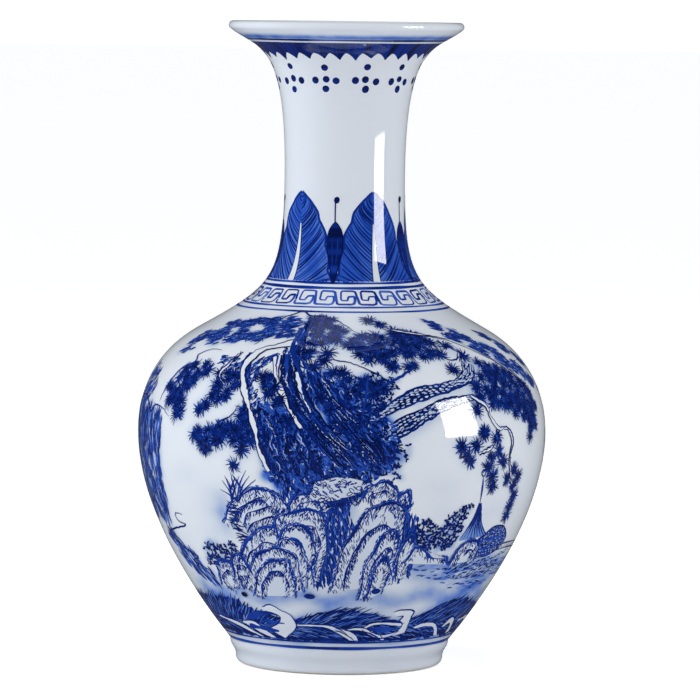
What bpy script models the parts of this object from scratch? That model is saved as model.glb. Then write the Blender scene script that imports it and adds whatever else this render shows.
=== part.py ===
"""Porcelain bottle vase with a dished mouth, built the way it is potted.

Five sections are thrown or turned one by one and stacked: foot ring, lower body with the
floor, shoulder, neck and mouth. Each joint is a lap: the upper section ends in a thin inner
tongue, the lower one in a thin outer socket, and a ring of slip fills the joint's outer half.

Metres, +Z up, axis of the vase on Z, standing edge of the foot at Z = 0.
"""
import math

import bmesh
import bpy
import numpy as np

# Driving dimensions
FOOT_HEIGHT = 0.014
FOOT_RADIUS = 0.0615
FOOT_TOE_RADIUS = 0.0582
FOOT_BEVEL = 0.0036
FOOT_RING_WIDTH = 0.0078
BELLY_RISE = 0.117
BELLY_RADIUS = 0.1143
SHOULDER_RISE = 0.058
SHOULDER_RADIUS = 0.080
WAIST_RISE = 0.0857
WAIST_RADIUS = 0.0337
MOUTH_RISE = 0.0853
MOUTH_RADIUS = 0.0659
LIP_RADIUS = 0.0024
WALL = 0.0046
FLOOR_THICKNESS = 0.0062
FLOOR_FLAT_RADIUS = 0.040
RECESS_DEPTH = 0.0086

# Joints between the sections
NECK_SEAM_RISE = 0.026
MOUTH_SEAM_DROP = 0.042
LAP_DEPTH = 0.0045
SLIP_THICKNESS = 0.0009
FOOT_SEAT_WIDTH = 0.0052
CLEARANCE = 0.0003

# Directions of the outline, from upright, and its pulls as shares of the rise they act over
FOOT_FLARE = math.radians(38.9)
SHOULDER_LEAN = math.radians(-60.2)
LIP_FLARE = math.radians(51.0)
FOOT_PULL = 0.357
BELLY_PULLS = (0.346, 0.653)
SHOULDER_PULLS = (0.172, 0.537)
WAIST_PULLS = (0.695, 0.95)
LIP_PULL = 0.23

# Fineness of the turned surfaces
TURN_STEPS = 52
OUTLINE_POINTS = 90
POINT_SPACING = 0.0115
ROUND_POINTS = 6
SHARP_ANGLE = math.radians(35)
WELD_DISTANCE = 1e-6

# Heights that follow from the sizes above
BELLY_HEIGHT = FOOT_HEIGHT + BELLY_RISE
SHOULDER_HEIGHT = BELLY_HEIGHT + SHOULDER_RISE
WAIST_HEIGHT = SHOULDER_HEIGHT + WAIST_RISE
HEIGHT = WAIST_HEIGHT + MOUTH_RISE
NECK_SEAM_HEIGHT = SHOULDER_HEIGHT + NECK_SEAM_RISE
MOUTH_SEAM_HEIGHT = HEIGHT - MOUTH_SEAM_DROP
LIP_CENTRE = np.array([MOUTH_RADIUS - LIP_RADIUS, HEIGHT - LIP_RADIUS])
FOOT_SEAT_RADIUS = FOOT_RADIUS - FOOT_SEAT_WIDTH
FLOOR_TOP = RECESS_DEPTH + FLOOR_THICKNESS

PORCELAIN = (0.86, 0.89, 0.92, 1.0)
SLIP_WHITE = (0.80, 0.80, 0.77, 1.0)


def clear_scene():
    for thing in list(bpy.data.objects):
        bpy.data.objects.remove(thing, do_unlink=True)


def make_material(name, colour, roughness, coat):
    material = bpy.data.materials.new(name)
    material.use_nodes = True
    shader = material.node_tree.nodes["Principled BSDF"]
    shader.inputs["Base Color"].default_value = colour
    shader.inputs["Roughness"].default_value = roughness
    shader.inputs["Metallic"].default_value = 0.0
    shader.inputs["Coat Weight"].default_value = coat
    return material


def direction(angle):
    """Unit step in radius and height at an angle from upright, outwards positive."""
    return np.array([math.sin(angle), math.cos(angle)])


def right_of(step):
    """Direction square to a step up the outline, pointing out of the vase."""
    return np.array([step[1], -step[0]])


def curve(start, start_pull, end, end_pull, count):
    """Points of a cubic curve between two points, each with its own pull vector."""
    t = np.linspace(0.0, 1.0, count)[:, None]
    first = start + start_pull
    second = end - end_pull
    outer_terms = (1 - t) ** 3 * start + t**3 * end
    return outer_terms + 3 * (1 - t) ** 2 * t * first + 3 * (1 - t) * t**2 * second


def stations():
    """Points where the outline turns: place, direction, and pulls below and above it."""
    lip_start = LIP_CENTRE + LIP_RADIUS * right_of(direction(LIP_FLARE))
    return [
        (np.array([FOOT_RADIUS, FOOT_HEIGHT]), FOOT_FLARE, 0.0, FOOT_PULL),
        (np.array([BELLY_RADIUS, BELLY_HEIGHT]), 0.0, *BELLY_PULLS),
        (np.array([SHOULDER_RADIUS, SHOULDER_HEIGHT]), SHOULDER_LEAN, *SHOULDER_PULLS),
        (np.array([WAIST_RADIUS, WAIST_HEIGHT]), 0.0, *WAIST_PULLS),
        (lip_start, LIP_FLARE, LIP_PULL, 0.0),
    ]


def outline():
    """Outer surface from the foot joint up to the lip, as close-set radius and height pairs."""
    turns = stations()
    pieces = []
    for (low, low_angle, _, pull_up), (high, high_angle, pull_down, _) in zip(turns, turns[1:]):
        rise = high[1] - low[1]
        low_pull = pull_up * rise * direction(low_angle)
        high_pull = pull_down * rise * direction(high_angle)
        pieces.append(curve(low, low_pull, high, high_pull, OUTLINE_POINTS)[:-1])
    return np.vstack(pieces + [turns[-1][0][None, :]])


OUTLINE = outline()
STEPS = np.linalg.norm(np.diff(OUTLINE, axis=0), axis=1)
LENGTHS = np.concatenate([[0.0], np.cumsum(STEPS)])
TANGENTS = np.gradient(OUTLINE, LENGTHS, axis=0)
TOTAL_LENGTH = float(LENGTHS[-1])


def length_at(height):
    """Distance along the outline, from the foot joint, where it reaches a height."""
    return float(np.interp(height, OUTLINE[:, 1], LENGTHS))


def wall_thickness(along):
    """Wall at a distance along the outline: even, and meeting the lip's roll at the top."""
    lip_zone = TOTAL_LENGTH - length_at(MOUTH_SEAM_HEIGHT)
    share = max(0.0, 1.0 - (TOTAL_LENGTH - along) / lip_zone)
    return WALL + (2 * LIP_RADIUS - WALL) * share


def wall_point(along, depth):
    """Point in the wall: so far along the outline, and so deep below its outer surface."""
    place = np.array([np.interp(along, LENGTHS, OUTLINE[:, i]) for i in range(2)])
    step = np.array([np.interp(along, LENGTHS, TANGENTS[:, i]) for i in range(2)])
    return place - depth * right_of(step / np.linalg.norm(step))


def spread(start, end, spacing):
    """Distances from one end to the other, evenly set and no further apart than the spacing."""
    count = max(2, math.ceil(abs(end - start) / spacing) + 1)
    return np.linspace(start, end, count)


def outer_face(top, bottom):
    return [wall_point(s, 0.0) for s in spread(top, bottom, POINT_SPACING)]


def inner_face(bottom, top):
    return [wall_point(s, wall_thickness(s)) for s in spread(bottom, top, POINT_SPACING)]


def socket_end(seam):
    """Top end of a section: an outer socket above a ledge, from its inner side outwards."""
    inner_depth = WALL
    socket_depth = (WALL - CLEARANCE) / 2
    ledge = seam - LAP_DEPTH
    brim = seam - SLIP_THICKNESS / 2 - CLEARANCE
    return [
        wall_point(ledge, inner_depth),
        wall_point(ledge, socket_depth),
        wall_point(brim, socket_depth),
        wall_point(brim, 0.0),
    ]


def tongue_end(seam):
    """Bottom end of a section: an outer shoulder above an inner tongue, from outside inwards."""
    tongue_depth = (WALL + CLEARANCE) / 2
    shoulder = seam + SLIP_THICKNESS / 2 + CLEARANCE
    tip = seam - LAP_DEPTH + CLEARANCE
    return [
        wall_point(shoulder, 0.0),
        wall_point(shoulder, tongue_depth),
        wall_point(tip, tongue_depth),
        wall_point(tip, WALL),
    ]


def arc(centre, radius, start, end):
    """Points of a round edge between two angles, both ends left out."""
    angles = np.linspace(start, end, ROUND_POINTS)[1:-1]
    return [centre + radius * np.array([math.cos(a), math.sin(a)]) for a in angles]


def turned(name, profile, material, height):
    """Object turned from a closed profile about Z, with its origin on the axis at a height."""
    shape = bmesh.new()
    corners = [shape.verts.new((r, 0.0, z - height)) for r, z in profile]
    edges = [shape.edges.new(pair) for pair in zip(corners, corners[1:])]
    if profile[0][0] > 0.0:
        edges.append(shape.edges.new((corners[-1], corners[0])))
    bmesh.ops.spin(shape, geom=corners + edges, axis=(0, 0, 1), cent=(0, 0, 0),
                   angle=math.tau, steps=TURN_STEPS, use_merge=True)
    bmesh.ops.remove_doubles(shape, verts=shape.verts, dist=WELD_DISTANCE)
    bmesh.ops.recalc_face_normals(shape, faces=shape.faces)
    mesh = bpy.data.meshes.new(name)
    shape.to_mesh(mesh)
    shape.free()
    mesh.shade_smooth()
    mesh.set_sharp_from_angle(angle=SHARP_ANGLE)
    mesh.materials.append(material)
    thing = bpy.data.objects.new(name, mesh)
    thing.location = (0.0, 0.0, height)
    bpy.context.scene.collection.objects.link(thing)
    return thing


def foot_ring(material):
    """Turned ring the vase stands on, with a ledge inside its top for the floor."""
    brim = FOOT_HEIGHT - SLIP_THICKNESS / 2 - CLEARANCE
    ledge = RECESS_DEPTH - CLEARANCE
    seat = FOOT_SEAT_RADIUS + CLEARANCE
    toe = np.array([FOOT_TOE_RADIUS, FOOT_BEVEL])
    inner = FOOT_TOE_RADIUS - FOOT_BEVEL - FOOT_RING_WIDTH
    bevel_centre = np.array([FOOT_TOE_RADIUS - FOOT_BEVEL, FOOT_BEVEL])
    start = np.array([FOOT_RADIUS, brim])
    hang = np.array([0.0, -(brim - FOOT_BEVEL) / 2])
    profile = list(curve(start, hang, toe, hang, ROUND_POINTS))
    profile += arc(bevel_centre, FOOT_BEVEL, 0.0, -math.pi / 2)
    profile += [np.array([bevel_centre[0], 0.0]), np.array([inner, 0.0])]
    profile += [np.array([inner, ledge]), np.array([seat, ledge]), np.array([seat, brim])]
    return turned("foot_ring", profile, material, 0.0)


def foot_slip(material):
    """Washer of slip between the foot ring and the lower body."""
    low = FOOT_HEIGHT - SLIP_THICKNESS / 2
    high = FOOT_HEIGHT + SLIP_THICKNESS / 2
    inner = FOOT_SEAT_RADIUS + CLEARANCE
    profile = [(FOOT_RADIUS, high), (FOOT_RADIUS, low), (inner, low), (inner, high)]
    return turned("foot_seam_slip", profile, material, FOOT_HEIGHT)


def lower_body(material):
    """Bowl from the foot joint to the belly, with the floor of the vase inside the foot."""
    seam = length_at(BELLY_HEIGHT)
    shoulder = FOOT_HEIGHT + SLIP_THICKNESS / 2 + CLEARANCE
    start = length_at(shoulder)
    fillet_end = wall_point(start + FLOOR_THICKNESS + WALL, WALL)
    wall_step = wall_point(start + FLOOR_THICKNESS + 2 * WALL, WALL) - fillet_end
    floor_edge = np.array([FLOOR_FLAT_RADIUS, FLOOR_TOP])
    reach = (fillet_end[0] - floor_edge[0]) / 2
    wall_pull = reach / 2 * wall_step / np.linalg.norm(wall_step)
    profile = [np.array([0.0, FLOOR_TOP])]
    profile += list(curve(floor_edge, np.array([reach, 0.0]), fillet_end, wall_pull, ROUND_POINTS))
    profile += inner_face(start + FLOOR_THICKNESS + WALL, seam - LAP_DEPTH)[1:-1]
    profile += socket_end(seam)
    profile += outer_face(seam - SLIP_THICKNESS / 2 - CLEARANCE, start)[1:]
    profile += [np.array([FOOT_SEAT_RADIUS, shoulder])]
    profile += [np.array([FOOT_SEAT_RADIUS, RECESS_DEPTH]), np.array([0.0, RECESS_DEPTH])]
    return turned("lower_body", profile, material, FOOT_HEIGHT)


def wall_section(name, bottom_seam, top_seam, material, height):
    """Open tube of wall with a tongue at its bottom end and a socket at its top end."""
    profile = socket_end(top_seam)
    profile += outer_face(top_seam - SLIP_THICKNESS / 2 - CLEARANCE,
                          bottom_seam + SLIP_THICKNESS / 2 + CLEARANCE)[1:-1]
    profile += tongue_end(bottom_seam)
    profile += inner_face(bottom_seam - LAP_DEPTH + CLEARANCE, top_seam - LAP_DEPTH)[1:-1]
    return turned(name, profile, material, height)


def mouth(seam, material, height):
    """Dished mouth: flares from the neck and ends in a round lip."""
    profile = outer_face(TOTAL_LENGTH, seam + SLIP_THICKNESS / 2 + CLEARANCE)[:-1]
    profile += tongue_end(seam)
    profile += inner_face(seam - LAP_DEPTH + CLEARANCE, TOTAL_LENGTH)[1:]
    lip_angle = math.pi - LIP_FLARE
    profile += arc(LIP_CENTRE, LIP_RADIUS, lip_angle, lip_angle - math.pi)
    return turned("mouth", profile, material, height)


def seam_slip(name, seam, material, height):
    """Ring of slip in the outer half of a joint."""
    low = seam - SLIP_THICKNESS / 2
    high = seam + SLIP_THICKNESS / 2
    depth = (WALL - CLEARANCE) / 2
    profile = [wall_point(high, 0.0), wall_point(low, 0.0)]
    profile += [wall_point(low, depth), wall_point(high, depth)]
    return turned(name, profile, material, height)


def main():
    clear_scene()
    porcelain = make_material("porcelain", PORCELAIN, 0.12, 1.0)
    slip = make_material("slip", SLIP_WHITE, 0.45, 0.0)
    belly = length_at(BELLY_HEIGHT)
    neck_seam = length_at(NECK_SEAM_HEIGHT)
    mouth_seam = length_at(MOUTH_SEAM_HEIGHT)
    pieces = [
        foot_ring(porcelain),
        foot_slip(slip),
        lower_body(porcelain),
        seam_slip("belly_seam_slip", belly, slip, BELLY_HEIGHT),
        wall_section("shoulder", belly, neck_seam, porcelain, BELLY_HEIGHT),
        seam_slip("neck_seam_slip", neck_seam, slip, NECK_SEAM_HEIGHT),
        wall_section("neck", neck_seam, mouth_seam, porcelain, NECK_SEAM_HEIGHT),
        seam_slip("mouth_seam_slip", mouth_seam, slip, MOUTH_SEAM_HEIGHT),
        mouth(mouth_seam, porcelain, MOUTH_SEAM_HEIGHT),
    ]
    vase = bpy.data.objects.new("vase", None)
    bpy.context.scene.collection.objects.link(vase)
    for piece in pieces:
        piece.parent = vase


main()
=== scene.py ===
"""Porcelain bottle vase with a dished mouth, painted in cobalt blue under a clear glaze.

The fixed frame gives the five turned sections and the slip between them. Each section gets a
finely turned skin on the same outline, and the painting lies on it as thin strokes of cobalt:
a collar and dot crosses under the lip, upright leaves on the neck, a key fret, and round the
body an old pine on rocks, a far shore with a domed hall, and waves. Metres, +Z up, the vase's
axis on Z. The turn is counted from the front, -Y, towards +X.
"""
import math

import bpy
import numpy as np
from mathutils import Matrix, Vector


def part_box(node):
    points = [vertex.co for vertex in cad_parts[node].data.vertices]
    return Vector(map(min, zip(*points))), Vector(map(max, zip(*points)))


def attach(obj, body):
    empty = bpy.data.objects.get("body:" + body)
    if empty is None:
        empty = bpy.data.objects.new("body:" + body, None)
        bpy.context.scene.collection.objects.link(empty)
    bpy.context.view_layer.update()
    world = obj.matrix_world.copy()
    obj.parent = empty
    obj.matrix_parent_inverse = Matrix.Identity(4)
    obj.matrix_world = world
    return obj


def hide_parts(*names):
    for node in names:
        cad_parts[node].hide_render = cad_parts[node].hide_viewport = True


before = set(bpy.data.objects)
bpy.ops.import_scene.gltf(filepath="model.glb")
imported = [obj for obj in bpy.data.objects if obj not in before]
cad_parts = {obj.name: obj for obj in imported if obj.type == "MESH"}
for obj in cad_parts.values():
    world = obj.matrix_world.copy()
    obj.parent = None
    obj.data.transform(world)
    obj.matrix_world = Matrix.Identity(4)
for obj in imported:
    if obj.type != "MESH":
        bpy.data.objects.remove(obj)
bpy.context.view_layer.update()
scene = bpy.context.scene

# The camera stands well back, a little above the shoulder, and looks slightly down. It is
# tipped by under a degree, so the vase leans a touch to the right.
LENS_MM = 244.3
CAMERA_PLACE = Vector((0.0041, -2.66, 0.3761))
LOOK_DOWN = math.radians(4.30)
TIPPED = math.radians(0.7)

camera_data = bpy.data.cameras.new("camera")
camera_data.lens = LENS_MM
camera_data.sensor_width = 36.0
camera = bpy.data.objects.new("camera", camera_data)
camera.matrix_world = (
    Matrix.Translation(CAMERA_PLACE)
    @ Matrix.Rotation(math.pi / 2 - LOOK_DOWN, 4, "X")
    @ Matrix.Rotation(TIPPED, 4, "Z")
)
scene.collection.objects.link(camera)
scene.camera = camera
scene.view_settings.view_transform = "Standard"


# The studio is a white table in a white room, with three softboxes: a square one to the right, a
# tall broad one to the left, and a wide one overhead. The glaze mirrors none of them. What it
# mirrors as a bright window is a glowing card to the right, which nothing else sees.
def feed(tree, node, values):
    """Gives a node's inputs, by name or number, a value each or a link from another's output."""
    for name, value in values.items():
        if isinstance(value, bpy.types.NodeSocket):
            tree.links.new(value, node.inputs[name])
        else:
            node.inputs[name].default_value = value


def add_node(tree, kind, values=None, **settings):
    """New node of a kind with its settings made and then its inputs fed."""
    node = tree.nodes.new("ShaderNode" + kind)
    for name, value in settings.items():
        setattr(node, name, value)
    feed(tree, node, values or {})
    return node


def new_paint(name):
    """New material, its tree, and its shader."""
    paint = bpy.data.materials.new(name)
    paint.use_nodes = True
    return paint, paint.node_tree, paint.node_tree.nodes["Principled BSDF"]


def flat_sheet(name, width, depth, paint):
    """Painted rectangle round the origin, facing up."""
    mesh = bpy.data.meshes.new(name)
    x, y = width / 2, depth / 2
    mesh.from_pydata([(-x, -y, 0), (x, -y, 0), (x, y, 0), (-x, y, 0)], [], [(0, 1, 2, 3)])
    mesh.materials.append(paint)
    sheet = bpy.data.objects.new(name, mesh)
    scene.collection.objects.link(sheet)
    return sheet


MIDDLE_HEIGHT = 0.16


def aim(thing, turn, rise, distance):
    """Stands a thing off the vase's middle, at a turn and a rise in degrees, and faces it there."""
    middle = Vector((0.0, 0.0, MIDDLE_HEIGHT))
    across = math.cos(math.radians(rise))
    away = Vector((math.sin(math.radians(turn)) * across,
                   -math.cos(math.radians(turn)) * across, math.sin(math.radians(rise))))
    thing.location = middle + distance * away
    thing.rotation_euler = away.to_track_quat("Z", "Y").to_euler()


def softbox(name, turn, rise, distance, width, height, power, colour=(1.0, 1.0, 1.0)):
    """Area light that faces the vase and isn't mirrored in its glaze."""
    data = bpy.data.lights.new(name, "AREA")
    data.shape = "RECTANGLE"
    data.size, data.size_y = width, height
    data.energy, data.color = power, colour
    light = bpy.data.objects.new(name, data)
    light.visible_glossy = False
    scene.collection.objects.link(light)
    aim(light, turn, rise, distance)


softbox("window light", 68.0, 15.0, 1.05, 0.42, 0.46, 2.5)
softbox("broad left light", -72.0, 12.0, 1.35, 1.6, 1.8, 14.0, (0.94, 0.97, 1.0))
softbox("overhead panel", 0.0, 74.0, 1.9, 2.6, 2.2, 6.0)

glow, tree, shader = new_paint("window in the glaze")
feed(tree, shader, {"Base Color": (0.0, 0.0, 0.0, 1.0), "Emission Color": (1.0, 1.0, 1.0, 1.0),
                    "Emission Strength": 16.0})
glow.cycles.emission_sampling = "NONE"
card = flat_sheet("window in the glaze", 0.40, 0.52, glow)
card.visible_camera = card.visible_diffuse = card.visible_shadow = False
aim(card, 68.0, 14.0, 1.05)

world = bpy.data.worlds.new("white room")
scene.world = world
world.use_nodes = True
room = world.node_tree
seen = add_node(room, "LightPath").outputs
level = add_node(room, "MapRange", {"Value": seen["Is Camera Ray"], "To Min": 0.50, "To Max": 1.05})
dim = add_node(room, "MapRange", {"Value": seen["Is Glossy Ray"], "To Min": 1.0, "To Max": 0.08})
both = add_node(room, "Math", {0: level.outputs["Result"], 1: dim.outputs["Result"]},
                operation="MULTIPLY")
feed(room, room.nodes["Background"], {"Color": (0.97, 0.985, 1.0, 1.0),
                                      "Strength": both.outputs["Value"]})

table_paint, tree, shader = new_paint("white table paint")
seen = add_node(tree, "LightPath").outputs
tone = add_node(tree, "Mix", {"Factor": seen["Is Glossy Ray"], "A": (0.92, 0.93, 0.94, 1.0),
                              "B": (0.12, 0.12, 0.13, 1.0)}, data_type="RGBA")
level = add_node(tree, "Math", {0: seen["Is Camera Ray"], 1: 0.55}, operation="MULTIPLY")
feed(tree, shader, {"Base Color": tone.outputs["Result"], "Roughness": 0.9,
                    "Specular IOR Level": 0.1, "Emission Color": (1.0, 1.0, 1.0, 1.0),
                    "Emission Strength": level.outputs["Value"]})
flat_sheet("white_table", 60, 60, table_paint)

# The outline is one smooth line from the foot joint to the lip. Its outer sizes come from the
# fixed frame, and the way it leans at each height is the potter's.
FOOT_HEIGHT = 0.014
BELLY_HEIGHT = 0.131
SHOULDER_HEIGHT, SHOULDER_RADIUS = 0.189, 0.080
WAIST_HEIGHT, WAIST_RADIUS = 0.2747, 0.0337
NECK_SEAM_HEIGHT = 0.215
MOUTH_SEAM_HEIGHT = 0.318
LIP_RADIUS = 0.0024
WALL = 0.0046
FOOT_FLARE = math.radians(38.9)
SHOULDER_LEAN = math.radians(-60.2)
LIP_FLARE = math.radians(51.0)
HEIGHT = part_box("mouth")[1].z
MOUTH_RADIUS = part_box("mouth")[1].x
BELLY_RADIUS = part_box("belly_seam_slip")[1].x
FOOT_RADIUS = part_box("foot_seam_slip")[1].x


def direction(angle):
    """Unit step (radius, height) at an angle from upright, outwards positive."""
    return np.array([math.sin(angle), math.cos(angle)])


def right_of(steps):
    """Unit vectors square to steps up the outline: (height step, minus radius step)."""
    steps = np.asarray(steps, float)
    out = np.stack([steps[..., 1], -steps[..., 0]], -1)
    return out / np.linalg.norm(out, axis=-1, keepdims=True)


def bent(start, start_pull, end, end_pull, count):
    """Cubic curve from start to end that leaves along one pull and arrives along the other."""
    t = np.linspace(0.0, 1.0, count)[:, None]
    near, far = start + start_pull, end - end_pull
    return (1 - t)**3 * start + 3 * (1 - t)**2 * t * near + 3 * (1 - t) * t**2 * far + t**3 * end


lip_centre = np.array([MOUTH_RADIUS - LIP_RADIUS, HEIGHT - LIP_RADIUS])
turning_points = [
    (np.array([FOOT_RADIUS, FOOT_HEIGHT]), FOOT_FLARE, 0.0, 0.357),
    (np.array([BELLY_RADIUS, BELLY_HEIGHT]), 0.0, 0.346, 0.653),
    (np.array([SHOULDER_RADIUS, SHOULDER_HEIGHT]), SHOULDER_LEAN, 0.172, 0.537),
    (np.array([WAIST_RADIUS, WAIST_HEIGHT]), 0.0, 0.695, 0.95),
    (lip_centre + LIP_RADIUS * right_of(direction(LIP_FLARE)), LIP_FLARE, 0.23, 0.0),
]
spans = []
for (low, low_angle, _, pull_up), (high, high_angle, pull_down, _) in zip(
        turning_points, turning_points[1:]):
    rise = high[1] - low[1]
    spans.append(bent(low, pull_up * rise * direction(low_angle),
                      high, pull_down * rise * direction(high_angle), 600)[:-1])
outline_line = np.vstack(spans + [turning_points[-1][0][None, :]])
outline_run = np.concatenate(
    [[0.0], np.cumsum(np.linalg.norm(np.diff(outline_line, axis=0), axis=1))])
outline_out = right_of(np.gradient(outline_line, outline_run, axis=0))
FULL_RUN = float(outline_run[-1])


def run_at(height):
    """Distance along the outline, from the foot joint, at a height."""
    return np.interp(height, outline_line[:, 1], outline_run)


def radius_at(run):
    """Radius of the outline at a distance along it."""
    return np.interp(run, outline_run, outline_line[:, 0])


def skin_at(run):
    """(radius, height) on the outline and the unit vectors out of it, at distances along it."""
    place = np.stack([np.interp(run, outline_run, outline_line[:, i]) for i in (0, 1)], -1)
    out = np.stack([np.interp(run, outline_run, outline_out[:, i]) for i in (0, 1)], -1)
    return place, out / np.linalg.norm(out, axis=-1, keepdims=True)


def turned_to(pair, turn):
    """Places or directions (r sin a, -r cos a, z), for pairs (r, z) at turns a."""
    radius, height, turn = np.broadcast_arrays(pair[..., 0], pair[..., 1], turn)
    return np.stack([radius * np.sin(turn), -radius * np.cos(turn), height], -1)


def strip(points, out=None):
    """One smooth face of a section's profile: its points, and the direction it faces at each."""
    points = np.asarray(points, float)
    if out is None:
        out = np.repeat(right_of(points[:1] - points[-1:]), len(points), 0)
    return points, np.asarray(out, float)


def outer_strip(top, bottom, spacing):
    """Outer skin from a higher run to a lower one, in rows a spacing apart."""
    run = np.linspace(top, bottom, max(2, math.ceil((top - bottom) / spacing)))
    return strip(*skin_at(run))


def walls_at(run):
    """Outer and inner places, and unit vectors out of the wall, at distances along the outline."""
    place, out = skin_at(run)
    seam = run_at(MOUTH_SEAM_HEIGHT)
    to_lip = np.clip((run - seam) / (FULL_RUN - seam), 0, 1)
    depth = WALL + (2 * LIP_RADIUS - WALL) * to_lip
    return place, place - depth[:, None] * out, out


def inner_strip(bottom, top, spacing):
    """Inner skin from a lower run to a higher one: the outer skin moved in by the wall."""
    _, inner, out = walls_at(np.linspace(bottom, top, max(2, math.ceil((top - bottom) / spacing))))
    return strip(inner, -out)


def end_strip(run, way):
    """Flat end of a section's wall at a run: outwards to inwards for +1, else the other way."""
    return strip(np.concatenate(walls_at(np.array([run]))[:2])[::way])


# The porcelain is a white, faintly blue body under a clear glaze. The cobalt shows through the
# glaze as one blue that runs from a pale wash to near black where the brush left most of it.
TURN_COLUMNS = 600


def new_group(name, sockets):
    """Node group with sockets of a name, a kind, a way and a value, and its two end nodes."""
    group = bpy.data.node_groups.new(name, "ShaderNodeTree")
    for label, kind, way, value in sockets:
        socket = group.interface.new_socket(
            name=label, in_out=way, socket_type="NodeSocket" + kind)
        if value is not None:
            socket.default_value = value
    return group, group.nodes.new("NodeGroupInput").outputs, group.nodes.new("NodeGroupOutput")


cobalt, enter, leave = new_group("cobalt under glaze", (
    ("Cobalt", "Float", "INPUT", 0.0), ("Place", "Vector", "INPUT", None),
    ("Grain Scale", "Float", "INPUT", 220.0), ("Unevenness", "Float", "INPUT", 0.12),
    ("Color", "Color", "OUTPUT", None)))
mottle = add_node(cobalt, "TexNoise", {"Vector": enter["Place"], "Scale": enter["Grain Scale"],
                                       "Detail": 3.0})
swing = add_node(cobalt, "MapRange", {"Value": mottle.outputs["Fac"], "From Min": 0.3,
                                      "From Max": 0.7, "To Min": -1.0, "To Max": 1.0})
share = add_node(cobalt, "Math", {0: swing.outputs["Result"], 1: enter["Unevenness"]},
                 operation="MULTIPLY")
amount = add_node(cobalt, "Math", {0: share.outputs["Value"], 1: enter["Cobalt"],
                                   2: enter["Cobalt"]}, operation="MULTIPLY_ADD")
tones = add_node(cobalt, "ValToRGB", {"Fac": amount.outputs["Value"]})
ramp = tones.color_ramp
ramp.interpolation = "LINEAR"
for place, tone in (
    (0.0, (0.800, 0.842, 0.905)),
    (0.16, (0.50, 0.59, 0.76)),
    (0.34, (0.14, 0.27, 0.70)),
    (0.51, (0.026, 0.100, 0.53)),
    (0.67, (0.004, 0.036, 0.31)),
    (0.82, (0.0015, 0.013, 0.14)),
    (1.0, (0.0005, 0.004, 0.040)),
):
    stop = ramp.elements[-int(place)] if place in (0.0, 1.0) else ramp.elements.new(place)
    stop.color = (*tone, 1.0)
feed(cobalt, leave, {"Color": tones.outputs["Color"]})

glaze, enter, leave = new_group("fired glaze surface", (
    ("Place", "Vector", "INPUT", None), ("Least", "Float", "INPUT", 0.035),
    ("Most", "Float", "INPUT", 0.075), ("Roughness", "Float", "OUTPUT", None),
    ("Height", "Float", "OUTPUT", None)))
clouds = add_node(glaze, "TexNoise", {"Vector": enter["Place"], "Scale": 35.0, "Detail": 4.0})
gloss = add_node(glaze, "MapRange", {"Value": clouds.outputs["Fac"], "To Min": enter["Least"],
                                     "To Max": enter["Most"]})
ripple = add_node(glaze, "TexNoise", {"Vector": enter["Place"], "Scale": 60.0, "Detail": 1.0})
feed(glaze, leave, {"Roughness": gloss.outputs["Result"], "Height": ripple.outputs["Fac"]})


def glazed_porcelain(name, bare_edge=False):
    """White porcelain whose blue wash, painted shade under the lip included, follows the piece's own
    attribute, under a clear glaze.

    With a bare edge, its lowest millimetre is unglazed: matt, and warm off-white.
    """
    material, tree, shader = new_paint(name)
    place = add_node(tree, "TexCoord").outputs["Object"]
    # The attribute holds the cobalt washes and the painted shade under the lip.
    wash_and_shade = add_node(tree, "Attribute", attribute_name="wash_and_shade")
    colour = add_node(tree, "Group", {"Cobalt": wash_and_shade.outputs["Fac"], "Place": place,
                                      "Grain Scale": 110.0, "Unevenness": 0.22}, node_tree=cobalt)
    surface = add_node(tree, "Group", {"Place": place}, node_tree=glaze).outputs
    bump = add_node(tree, "Bump", {"Strength": 0.05, "Distance": 0.0004,
                                   "Height": surface["Height"]})
    tone, gloss = colour.outputs["Color"], surface["Roughness"]
    if bare_edge:
        above = add_node(tree, "SeparateXYZ", {"Vector": place}).outputs["Z"]
        bare = add_node(tree, "MapRange", {"Value": above, "From Min": 0.0008, "From Max": 0.0013,
                                           "To Min": 1.0, "To Max": 0.0}).outputs["Result"]
        tone = add_node(tree, "Mix", {"Factor": bare, "A": tone, "B": (0.70, 0.64, 0.55, 1.0)},
                        data_type="RGBA").outputs["Result"]
        gloss = add_node(tree, "Mix", {"Factor": bare, "A": gloss, "B": 0.8}).outputs["Result"]
    feed(tree, shader, {"IOR": 1.5, "Base Color": tone, "Roughness": gloss,
                        "Normal": bump.outputs["Normal"]})
    return material


porcelain = glazed_porcelain("glazed porcelain")


# The painter's tools: every stroke is a thin ribbon of cobalt just proud of the wall. A spot
# is a pair (turn in radians, run along the outline in metres), and arrays of spots are grids.
LIFT, COAT_LIFT, UNEVEN_LIFT = 0.00004, 0.00002, 0.000004
GRAIN = np.random.default_rng(7)


def spots(points):
    """Spots for points given as degrees of turn and millimetres of height."""
    points = np.asarray(points, float)
    return np.stack([np.radians(points[..., 0]), run_at(points[..., 1] / 1000)], -1)


def spots_at(turn, height):
    """Spots for turns in degrees and heights in millimetres, spread over each other's shapes."""
    return spots(np.stack(np.broadcast_arrays(turn, height), -1))


def moved(spot, right, up):
    """Spots moved by millimetres to the right and up the wall: turn + right / radius, run + up."""
    turn, run = spot[..., 0], spot[..., 1]
    return np.stack(np.broadcast_arrays(turn + right / 1000 / radius_at(run), run + up / 1000), -1)


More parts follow.
